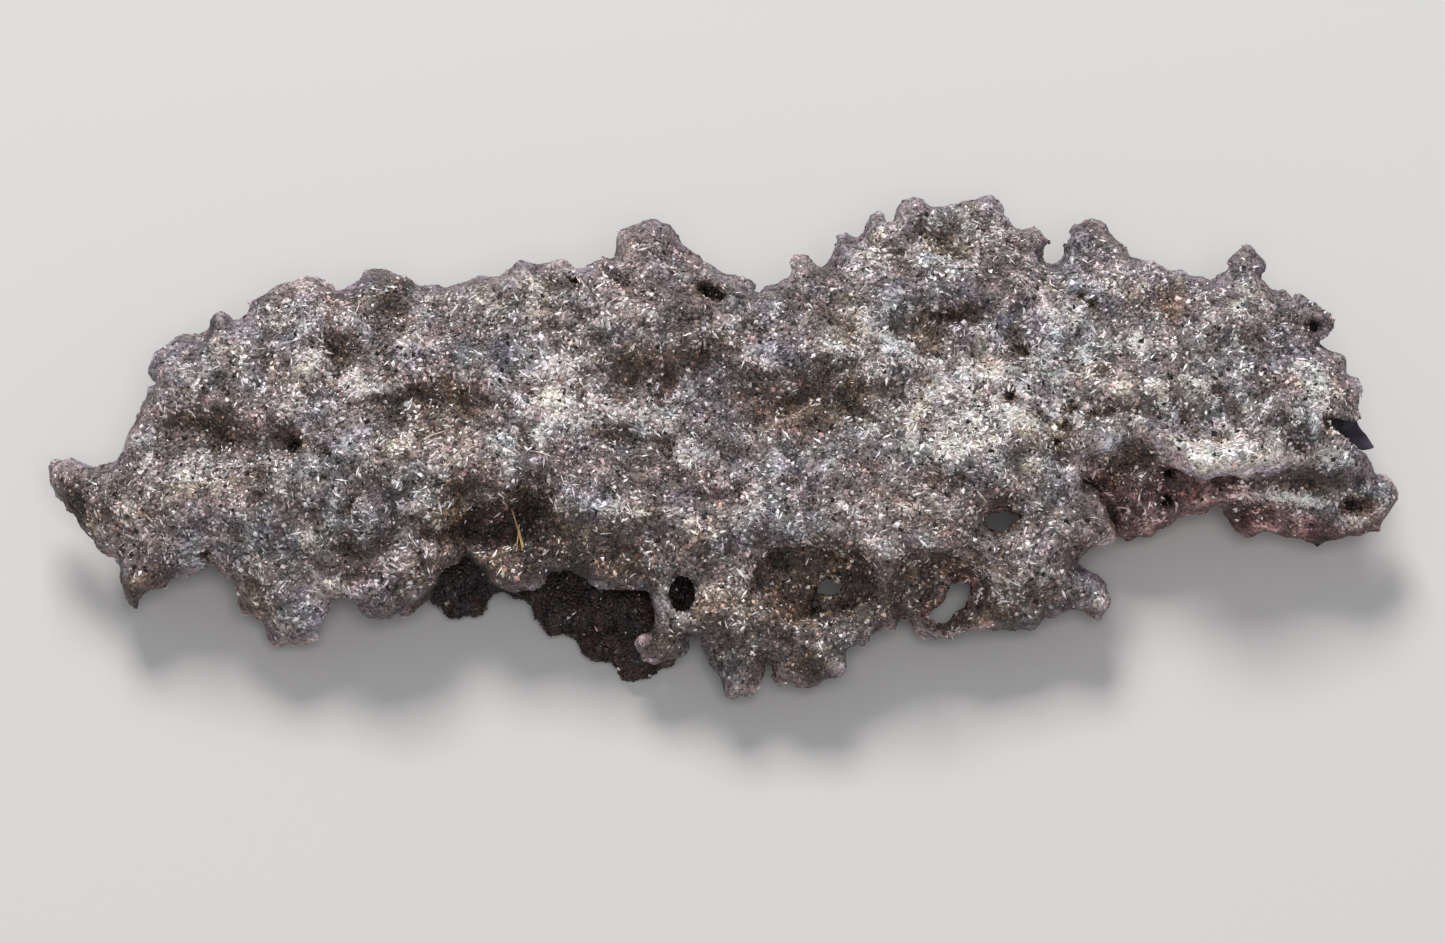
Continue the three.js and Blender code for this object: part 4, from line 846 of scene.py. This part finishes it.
# ---- how the surface is coloured
def blurred(values, reach):
    """The mean of an array over a box that reaches some cells each way."""
    for axis in range(3):
        total = np.cumsum(np.moveaxis(values, axis, 0), axis=0)
        width = 2 * reach + 1
        padded = np.concatenate([
            np.repeat(total[:1] * 0, reach + 1, axis=0), total, np.repeat(total[-1:], reach, axis=0),
        ])
        values = np.moveaxis((padded[width:] - padded[:-width]) / width, 0, axis)
    return values


def enclosure_at(points, field, reach_mm):
    """How much fused sand lies around each point: about a half on a flat face, more in a hollow."""
    inside = blurred((field < 0).astype(np.float32), round(reach_mm / CELL))
    index = np.round((points - np.array(GRID_LOW)) / CELL).astype(int)
    index = np.clip(index, 0, np.array(inside.shape) - 1)
    return inside[index[:, 0], index[:, 1], index[:, 2]]


def on_the_face(points, normals):
    """1 where a point faces up out of the slab and isn't far below it, as the feet are."""
    depth = sheet_arch(points[:, 0], points[:, 1]) - points[:, 2]
    return smoothstep(normals[:, 2], *FACE_TILT) * (1 - smoothstep(depth, *FEET_DEPTH))


def patch_strength(patches, points, normals):
    """How much of some patches lies on each point."""
    total = np.zeros(len(points))
    for pu, pv, ru, rv, strength in patches:
        off = ((points[:, 0] - pu) / ru) ** 2 + ((points[:, 1] - pv) / rv) ** 2
        total += strength * np.exp(-PATCH_FADE * off)
    return total * on_the_face(points, normals)


def line_strength(lines, points, normals):
    """How much of some lines lies on each point."""
    total = np.zeros(len(points))
    for crest, reach, strength in lines:
        off = distance_to_crest(points[:, 0], points[:, 1], crest) / reach
        total += strength * np.exp(-(off**2))
    return total * on_the_face(points, normals)


def rim_nearness(points):
    """1 along the rims of the upper sheet and of the wing, falling to 0 away from them."""
    u, v = points[:, 0], points[:, 1]
    upper, lower = (
        np.abs(signed_distance(u, v, smooth_outline(OUTLINES[name]))) for name in ("upper", "lower")
    )
    wing_shows = v < LIP_EDGE[0][1]
    side = np.minimum(upper, np.where(wing_shows, lower, upper))
    return 1 - smoothstep(side, 0, RIM_BARE)


def surface_zones(points, normals, field):
    """What the crust is like at each point: its clusters of tone, its paleness, darkness and blueness,
    and how much sand lies around it. The darkness is partly painted shade in crevices, hollows,
    undersides and deep places, and the paleness takes painted highlights on crests."""
    u, v, w = points.T
    depth = sheet_arch(u, v) - w
    enclosure = enclosure_at(points, field, HOLLOW_REACH)
    # Crevices are painted darker and the tips of knobs lighter: painted shade and light.
    painted_crevice_shade = enclosure_at(points, field, CREVICE_REACH) - 0.5
    drift_and_crevice_shade = layer(TONE_DRIFT, u, v, w) + layer(TONE_SPOTS, u, v, w) - CREVICE_SHADE * painted_crevice_shade
    # Hollows, what faces down and the deep places are darkened as painted shade, the keels in the front
    # edge's shadow most of all.
    painted_hollow_shade = smoothstep(enclosure, *HOLLOW_ENCLOSURE)
    painted_underside_shade = smoothstep(-normals[:, 2], *UNDER_TILT)
    keel_shade = np.clip(patch_strength(KEEL_SHADE, points, normals), 0, 1)
    painted_deep_shade = np.maximum(
        smoothstep(depth, *DEEP_DEPTH) * smoothstep(-v, *DEEP_FRONT),
        keel_shade * smoothstep(depth, *KEEL_DEPTH),
    )
    causes = (drift_and_crevice_shade, painted_hollow_shade, painted_underside_shade, painted_deep_shade)
    pale = patch_strength(PALE_PATCHES, points, normals) + weighed(PALE_SHARES, causes)
    # The pale crest lines are bare glass with a painted highlight.
    pale = pale + line_strength(PALE_GLASS_AND_HIGHLIGHT_LINES, points, normals)
    # Each gas pit is painted dark, as the shade in it.
    pit_shade_patches = [(pu, pv, radius, radius, PIT_SHADE) for pu, pv, radius in GAS_PITS]
    dark = patch_strength(DARK_CRUST_AND_SHADE_PATCHES + pit_shade_patches, points, normals) + weighed(DARK_SHARES, causes)
    blue = patch_strength(BLUE_PATCHES, points, normals)
    # The clusters carry the painted crevice shade too.
    clusters = drift_and_crevice_shade + layer(TONE_CLUSTERS, u, v, w)
    zones = [np.clip(zone, 0, most) for zone, most in zip((pale, dark, blue), ZONE_MOST)]
    return clusters, *zones, enclosure


def weighed(shares, amounts):
    """Some amounts added up, each times its share."""
    return sum(share * amount for share, amount in zip(shares, amounts))


def zone_tint(points, pale, dark, blue):
    """The tint of the crust at each point, with spots that are a little warmer or greener."""

    def turned_to(tint, goal, share):
        return tint + (np.array(goal) - tint) * share[:, None]

    u, v, w = points.T
    darkness = np.clip(dark, 0, 1)
    low = smoothstep(sheet_arch(u, v) - w, *LOW_DEPTH) * smoothstep(-v, *LOW_FRONT)
    tint = turned_to(np.array(GREY_TINT), CREAM_TINT, np.clip(pale, 0, 1))
    tint = turned_to(tint, BLUE_TINT, BLUE_SHARE * blue * (1 - darkness))
    # Brown where it is dark: in browner crust, and in the painted shade too.
    tint = turned_to(tint, BROWN_TINT, BROWN_SHARE * darkness)
    # The low front parts take painted shade with reddish bounce light.
    tint = turned_to(tint, PAINTED_BOUNCE_TINT, low * (PAINTED_BOUNCE_SHARE[0] + PAINTED_BOUNCE_SHARE[1] * darkness))
    # Along the rims, the bare glass's tint with a painted pink glow of light through the thin glass.
    tint = turned_to(tint, RIM_GLASS_AND_GLOW_TINT, RIM_SHARE * rim_nearness(points) * (1 - low))
    warm = layer(WARM_DRIFT, u, v + APART, w) + layer(WARM_SPOTS, u, v + APART, w)
    green = layer(GREEN_DRIFT, u, v, w + APART) + layer(GREEN_SPOTS, u, v, w + APART)
    return tint * (1 + warm[:, None] * np.array(WARM_TURN) + green[:, None] * np.array(GREEN_TURN))


def set_colour_attribute(mesh, name, colours):
    attribute = mesh.attributes.new(name, "FLOAT_COLOR", "POINT")
    rgba = np.ones((len(colours), 4), np.float32)
    rgba[:, :3] = colours
    attribute.data.foreach_set("color", rgba.ravel())


# ---- parts of the materials
def new_principled(name, roughness):
    """A new material: itself, its node tree and its shader node."""
    material = bpy.data.materials.new(name)
    material.use_nodes = True
    shader = material.node_tree.nodes["Principled BSDF"]
    shader.inputs["Roughness"].default_value = roughness
    return material, material.node_tree, shader


def new_pattern(tree, kind, scale):
    """A pattern that is fixed to the piece, scale being how often it repeats in a metre."""
    place = tree.nodes.new("ShaderNodeTexCoord")
    pattern = tree.nodes.new(kind)
    pattern.inputs["Scale"].default_value = scale
    tree.links.new(place.outputs["Object"], pattern.inputs["Vector"])
    return pattern


def link_attribute(tree, name, output, socket):
    """Links what is stored at each point under a name to a socket."""
    stored = tree.nodes.new("ShaderNodeAttribute")
    stored.attribute_name = name
    tree.links.new(stored.outputs[output], socket)


def link_varied_zone_colour(tree, value, value_range, brightness, socket):
    """Links the zone's colour to a socket, brighter or darker as a pattern's value says."""
    spread = tree.nodes.new("ShaderNodeMapRange")
    spread.inputs["From Min"].default_value, spread.inputs["From Max"].default_value = value_range
    spread.inputs["To Min"].default_value, spread.inputs["To Max"].default_value = brightness
    tree.links.new(value, spread.inputs["Value"])
    coloured = tree.nodes.new("ShaderNodeVectorMath")
    coloured.operation = "SCALE"
    link_attribute(tree, "colour_with_painted_light", "Color", coloured.inputs["Vector"])
    tree.links.new(spread.outputs["Result"], coloured.inputs["Scale"])
    tree.links.new(coloured.outputs["Vector"], socket)


# ---- the crust
def crust_material():
    """Fused sand between the grains: the zone's colour, with its painted shade and highlights, and
    finer grains and pores.
    """
    material, tree, shader = new_principled("fused_sand", CRUST_ROUGHNESS)
    cells = new_pattern(tree, "ShaderNodeTexVoronoi", CRUST_CELLS_PER_METRE)
    grain_tone = tree.nodes.new("ShaderNodeSeparateColor")
    tree.links.new(cells.outputs["Color"], grain_tone.inputs["Color"])
    link_varied_zone_colour(
        tree, grain_tone.outputs["Red"], (0, 1), CRUST_CELL_TONES, shader.inputs["Base Color"]
    )
    bump = tree.nodes.new("ShaderNodeBump")
    bump.inputs["Strength"].default_value = CRUST_BUMP
    bump.inputs["Distance"].default_value = CRUST_BUMP_METRES
    bump.invert = True
    tree.links.new(cells.outputs["Distance"], bump.inputs["Height"])
    tree.links.new(bump.outputs["Normal"], shader.inputs["Normal"])
    return material


def make_crust(points, quads, normals, field):
    mesh = bpy.data.meshes.new("fulgurite_crust")
    mesh.from_pydata(to_metres(points).tolist(), [], quads.tolist())
    mesh.update()
    mesh.shade_smooth()
    clusters, pale, dark, blue, _ = surface_zones(points, normals, field)
    tone = CRUST_TONE * np.exp(weighed(CRUST_CONTRAST, (pale, dark, clusters)))
    set_colour_attribute(mesh, "colour_with_painted_light", tone[:, None] * zone_tint(points, pale, dark, blue))
    add_piece("fulgurite_crust", mesh, crust_material())


# ---- the grains
def scatter(points, quads, normals, rng):
    """Places on the crust for the grains, thickest on the upper face: points and normals."""
    corners = points[quads]
    area = 0.5 * np.linalg.norm(face_crossings(corners), axis=1)
    upward = smoothstep(normals[quads[:, 0], 2], *UPWARD_TILT)
    wanted = area * (UNDER_GRAINS_PER_MM2 + (UPPER_GRAINS_PER_MM2 - UNDER_GRAINS_PER_MM2) * upward)
    draws = int(SPARE_DRAWS * wanted.sum())
    chosen = rng.choice(len(quads), size=draws, p=wanted / wanted.sum())
    a, b = rng.random((2, len(chosen), 1))
    c = corners[chosen]
    places = (c[:, 0] * (1 - a) + c[:, 1] * a) * (1 - b) + (c[:, 3] * (1 - a) + c[:, 2] * a) * b
    cell = np.floor(places / GRAIN_GAP).astype(np.int64)
    key = (cell[:, 0] * MOST_CELLS + cell[:, 1]) * MOST_CELLS + cell[:, 2]
    kept = rng.permutation(np.unique(key, return_index=True)[1])
    standing = to_metres(places[kept])[:, 2] > SOLE_CLEAR / MM_PER_METRE
    bare = rim_nearness(places[kept]) * (1 - RIM_KEPT)
    kept = kept[standing & (rng.random(len(kept)) > bare)][: GRAIN_PIECES * GRAINS_PER_PIECE]
    return places[kept], normals[quads[chosen[kept], 0]]


def grain_finish(places, normals, field, rng):
    """Dull, grey, brown, sooty and clear white grains, mixed as the zone that they lie in has
    them: the colour and the roughness of each, and whether it is clear."""
    clusters, pale, dark, blue, enclosure = surface_zones(places, normals, field)
    tip = 1 - smoothstep(enclosure, *TIP_ENCLOSURE)
    count = len(places)
    spread = rng.normal(0, 1, count) * TONE_SPREAD * (1 - TIP_EVEN * tip)
    # The zones' painted shade and highlights go into the grains' tones.
    tone = GRAIN_TONE * np.exp(spread + weighed(GRAIN_CONTRAST, (pale, dark, clusters)))
    clear_share = CLEAR_SHARE + weighed(CLEAR_SHIFTS, (pale, dark, clusters))
    clear = rng.random(count) < clear_share * (1 - TIP_UNCLEAR * tip)
    tone = np.where(clear, rng.uniform(*CLEAR_TONE, count), tone)
    tone = np.where(rng.random(count) < SOOT_SHARE, SOOT_TONE, tone)
    tint = zone_tint(places, pale, np.where(clear, CLEAR_DARK, 1) * dark, blue)
    tint = np.where(clear[:, None], 1 + CLEAR_TINT * (tint - 1), tint)
    tint = 1 + (tint - 1) * rng.uniform(*TINT_SPREAD, (count, 1))
    roughness = DULL - (DULL - GLOSSY) * rng.random(count) ** GLOSS_SKEW
    return np.clip(tone[:, None] * tint, *TONE_LIMITS), roughness, clear


def random_turns(count, rng):
    """Rotation matrices that point every way."""
    q = rng.normal(size=(count, 4))
    w, x, y, z = (q / np.linalg.norm(q, axis=1)[:, None]).T
    rows = [
        [1 - 2 * (y * y + z * z), 2 * (x * y - z * w), 2 * (x * z + y * w)],
        [2 * (x * y + z * w), 1 - 2 * (x * x + z * z), 2 * (y * z - x * w)],
        [2 * (x * z - y * w), 2 * (y * z + x * w), 1 - 2 * (x * x + y * y)],
    ]
    return np.moveaxis(np.array(rows), 2, 0)


def grain_points(places, normals, clear, rng):
    """The tips of every grain: uneven octahedra, partly sunk in the crust. Most of the clear ones
    are long splinters that lie flat on it."""
    count = len(places)
    smallest, largest = GRAIN_RADIUS
    radius = smallest + (largest - smallest) * rng.random(count) ** 2
    stretch = rng.uniform(*GRAIN_STRETCH, (count, 1, 3))
    splinter = clear & (rng.random(count) < SPLINTER_SHARE)
    stretch[splinter] = SPLINTER_STRETCH
    uneven = rng.uniform(*TIP_UNEVEN, (count, 6, 1))
    shape = TIPS[None] * stretch * uneven * radius[:, None, None]
    turned = np.einsum("nij,nkj->nki", random_turns(count, rng), shape)
    pressed = np.where(splinter, SPLINTER_PRESSED, GRAIN_PRESSED)
    upright = np.einsum("nkj,nj->nk", turned, normals) * pressed[:, None]
    turned = turned - upright[:, :, None] * normals[:, None, :]
    lift = radius * (GRAIN_LIFT - RIM_SINK * rim_nearness(places))
    middle = places + normals * lift[:, None]
    return turned + middle[:, None, :]


def make_grains(name, tips, colours, roughness, material):
    """One mesh that joins thousands of grains, each with its own colour and its own bit of UV map."""
    count = len(tips)
    mesh = bpy.data.meshes.new(name)
    faces = (TIP_FACES[None] + 6 * np.arange(count)[:, None, None]).reshape(-1)
    mesh.vertices.add(6 * count)
    mesh.vertices.foreach_set("co", to_metres(tips.reshape(-1, 3)).ravel())
    mesh.loops.add(len(faces))
    mesh.loops.foreach_set("vertex_index", faces)
    mesh.polygons.add(len(faces) // 3)
    mesh.polygons.foreach_set("loop_start", np.arange(0, len(faces), 3))
    mesh.update(calc_edges=True)
    mesh.shade_flat()
    set_colour_attribute(mesh, "grain_colour_with_painted_light", np.repeat(colours, 6, axis=0))
    gloss = mesh.attributes.new("grain_roughness", "FLOAT", "POINT")
    gloss.data.foreach_set("value", np.repeat(roughness, 6))
    side = math.ceil(math.sqrt(count))
    square = np.stack([np.arange(count) % side, np.arange(count) // side], axis=1)
    uv = (square[:, None, None, :] + np.array(GRAIN_UV)[None, None]) / side
    uv = np.broadcast_to(uv, (count, len(TIP_FACES), 3, 2))
    mesh.uv_layers.new(name="OFBake").uv.foreach_set("vector", uv.ravel())
    add_piece(name, mesh, material)


def grain_material():
    material, tree, shader = new_principled("sand_grain", DULL)
    link_attribute(tree, "grain_colour_with_painted_light", "Color", shader.inputs["Base Color"])
    link_attribute(tree, "grain_roughness", "Fac", shader.inputs["Roughness"])
    return material


def make_all_grains(points, quads, normals, field):
    rng = np.random.default_rng(GRAIN_SEED)
    places, facing = scatter(points, quads, normals, rng)
    colours, roughness, clear = grain_finish(places, facing, field, rng)
    tips = grain_points(places, facing, clear, rng)
    material = grain_material()
    for index in range(GRAIN_PIECES):
        part = slice(index, None, GRAIN_PIECES)
        name = f"sand_grains_{index + 1}"
        make_grains(name, tips[part], colours[part], roughness[part], material)


# ---- the bore's lining
def lining_material():
    """Bare dark violet glass, streaked and a little clouded."""
    material, tree, shader = new_principled("bare_glass", LINING_ROUGHNESS)
    shader.inputs["Specular IOR Level"].default_value = LINING_GLOSS
    streaks = new_pattern(tree, "ShaderNodeTexNoise", LINING_STREAKS_PER_METRE)
    streaks.inputs["Detail"].default_value = LINING_STREAK_DETAIL
    link_varied_zone_colour(
        tree, streaks.outputs["Fac"], STREAK_RANGE, STREAK_TONES, shader.inputs["Base Color"]
    )
    return material


def make_lining():
    """The bare strip of the bore's glass lining: a thin, slightly curved flake."""
    mesh = bmesh.new()
    face = mesh.faces.new([mesh.verts.new((u, v, LINING_W)) for u, v in LINING_OUTLINE])
    bmesh.ops.triangulate(mesh, faces=[face])
    bmesh.ops.subdivide_edges(mesh, edges=mesh.edges[:], cuts=LINING_CUTS, use_grid_fill=True)
    sheet = bmesh.ops.extrude_face_region(mesh, geom=mesh.faces[:])["geom"]
    for corner in sheet:
        if isinstance(corner, bmesh.types.BMVert):
            corner.co.z += 2 * LINING_HALF
    bmesh.ops.recalc_face_normals(mesh, faces=mesh.faces[:])
    u, v, w = np.array([corner.co for corner in mesh.verts]).T
    inner_end, outer_end = LINING_OUTLINE[0][0], LINING_OUTLINE[3][0]
    along = (u - inner_end) / (outer_end - inner_end)
    w = w - LINING_TAPER * (w - LINING_W) * np.clip(along, 0, 1)
    w = w - LINING_BEND * ((u - LINING_CREST) / LINING_REACH) ** 2 + layer(LINING_WAVES, u, v, w)
    chipped_u = u + layer(LINING_CHIPS, u, v, w)
    chipped_v = v + layer(LINING_CHIPS, v, u, w)
    for corner, place in zip(mesh.verts, to_metres(np.stack([chipped_u, chipped_v, w], axis=1))):
        corner.co = Vector(place)
    data = bpy.data.meshes.new("bore_lining")
    mesh.to_mesh(data)
    mesh.free()
    # The flake is darker towards its inner end: painted shade.
    inner, outer = np.array(LINING_TONES)
    share = smoothstep(along, *LINING_SHADE)[:, None]
    set_colour_attribute(data, "colour_with_painted_light", inner + (outer - inner) * share)
    lining = add_piece("bore_lining", data, lining_material())
    bevel = lining.modifiers.new("worn edge", "BEVEL")
    bevel.width = LINING_WEAR / MM_PER_METRE
    bevel.segments = 2


# ---- the fibres and hairs
def strand_material(name, tones):
    """Dry plant fibre, darker in places."""
    material, tree, shader = new_principled(name, STRAND_ROUGHNESS)
    mottle = new_pattern(tree, "ShaderNodeTexNoise", STRAND_MOTTLES_PER_METRE)
    shades = tree.nodes.new("ShaderNodeValToRGB")
    for stop, position, tone in zip(shades.color_ramp.elements, STRAND_STOPS, tones):
        stop.position = position
        stop.color = (*tone, 1)
    tree.links.new(mottle.outputs["Fac"], shades.inputs["Fac"])
    tree.links.new(shades.outputs["Color"], shader.inputs["Base Color"])
    return material


def make_strands(name, strands, radius, material):
    """Thin tubes along curves, each given as points (u, v, w)."""
    curve = bpy.data.curves.new(name, "CURVE")
    curve.dimensions = "3D"
    curve.bevel_depth = radius / MM_PER_METRE
    curve.bevel_resolution = 2
    for strand in strands:
        spline = curve.splines.new("NURBS")
        spline.points.add(len(strand) - 1)
        spline.use_endpoint_u = True
        spline.order_u = 3
        for point, place in zip(spline.points, to_metres(np.array(strand))):
            point.co = (*place, 1)
    path = bpy.data.objects.new("path", curve)
    bpy.context.scene.collection.objects.link(path)
    mesh = bpy.data.meshes.new_from_object(path.evaluated_get(bpy.context.evaluated_depsgraph_get()))
    bpy.data.objects.remove(path)
    mesh.materials.clear()
    add_piece(name, mesh, material)


def top_of_crust(field, u, v):
    """w of the crust's upper face at one place."""
    column = [round((x - low) / CELL) for x, low in zip((u, v), GRID_LOW)]
    inside = np.flatnonzero(field[column[0], column[1]] < 0)
    return GRID_LOW[2] + CELL * inside[-1]


def make_hairs(field):
    """The fine pale hairs: each is laid on the crust."""
    strands = [[(u, v, top_of_crust(field, u, v) + HAIR_LIFT) for u, v in hair] for hair in HAIRS]
    make_strands("pale_hairs", strands, HAIR_RADIUS, strand_material("pale_hair", HAIR_TONES))


# ---- floor, light and camera
def make_floor():
    bpy.ops.mesh.primitive_plane_add(size=FLOOR_METRES, location=(0, 0, 0))
    floor = bpy.context.object
    floor.name = "floor"
    material, _, shader = new_principled("floor", FLOOR_ROUGHNESS)
    shader.inputs["Base Color"].default_value = FLOOR_COLOUR
    floor.data.materials.append(material)


def make_lights():
    for name, place, size, power in LIGHTS:
        light = bpy.data.lights.new(name, "AREA")
        light.size = size
        light.energy = power
        lamp = bpy.data.objects.new(name, light)
        lamp.location = place
        lamp.rotation_euler = Vector(place).to_track_quat("Z", "Y").to_euler()
        bpy.context.scene.collection.objects.link(lamp)
    world = bpy.data.worlds.new("studio")
    bpy.context.scene.world = world
    world.use_nodes = True
    background = world.node_tree.nodes["Background"]
    background.inputs["Color"].default_value = SKY_COLOUR
    background.inputs["Strength"].default_value = SKY_STRENGTH


def make_camera():
    data = bpy.data.cameras.new("camera")
    data.sensor_width = SENSOR_MM
    data.lens = SENSOR_MM * CAMERA_DISTANCE_MM / FRAME_WIDTH_MM
    camera = bpy.data.objects.new("camera", data)
    place = to_metres(np.array(FRAME_CENTRE) + np.array((0, 0, CAMERA_DISTANCE_MM)))
    turn = Matrix.Rotation(SLAB_LEAN, 4, "X")
    camera.matrix_world = Matrix.Translation(Vector(place)) @ turn
    bpy.context.scene.collection.objects.link(camera)
    bpy.context.scene.camera = camera


bpy.context.scene.view_settings.view_transform = "Standard"
make_camera()
make_floor()
make_lights()
lump = lump_field()
crust_points, crust_quads = without_crumbs(*surface_of(lump))
crust_normals = normals_of(crust_points, crust_quads)
make_crust(crust_points, crust_quads, crust_normals, lump)
make_all_grains(crust_points, crust_quads, crust_normals, lump)
make_lining()
make_strands("plant_fibres", FIBRES, FIBRE_RADIUS, strand_material("dry_fibre", FIBRE_TONES))
make_hairs(lump)
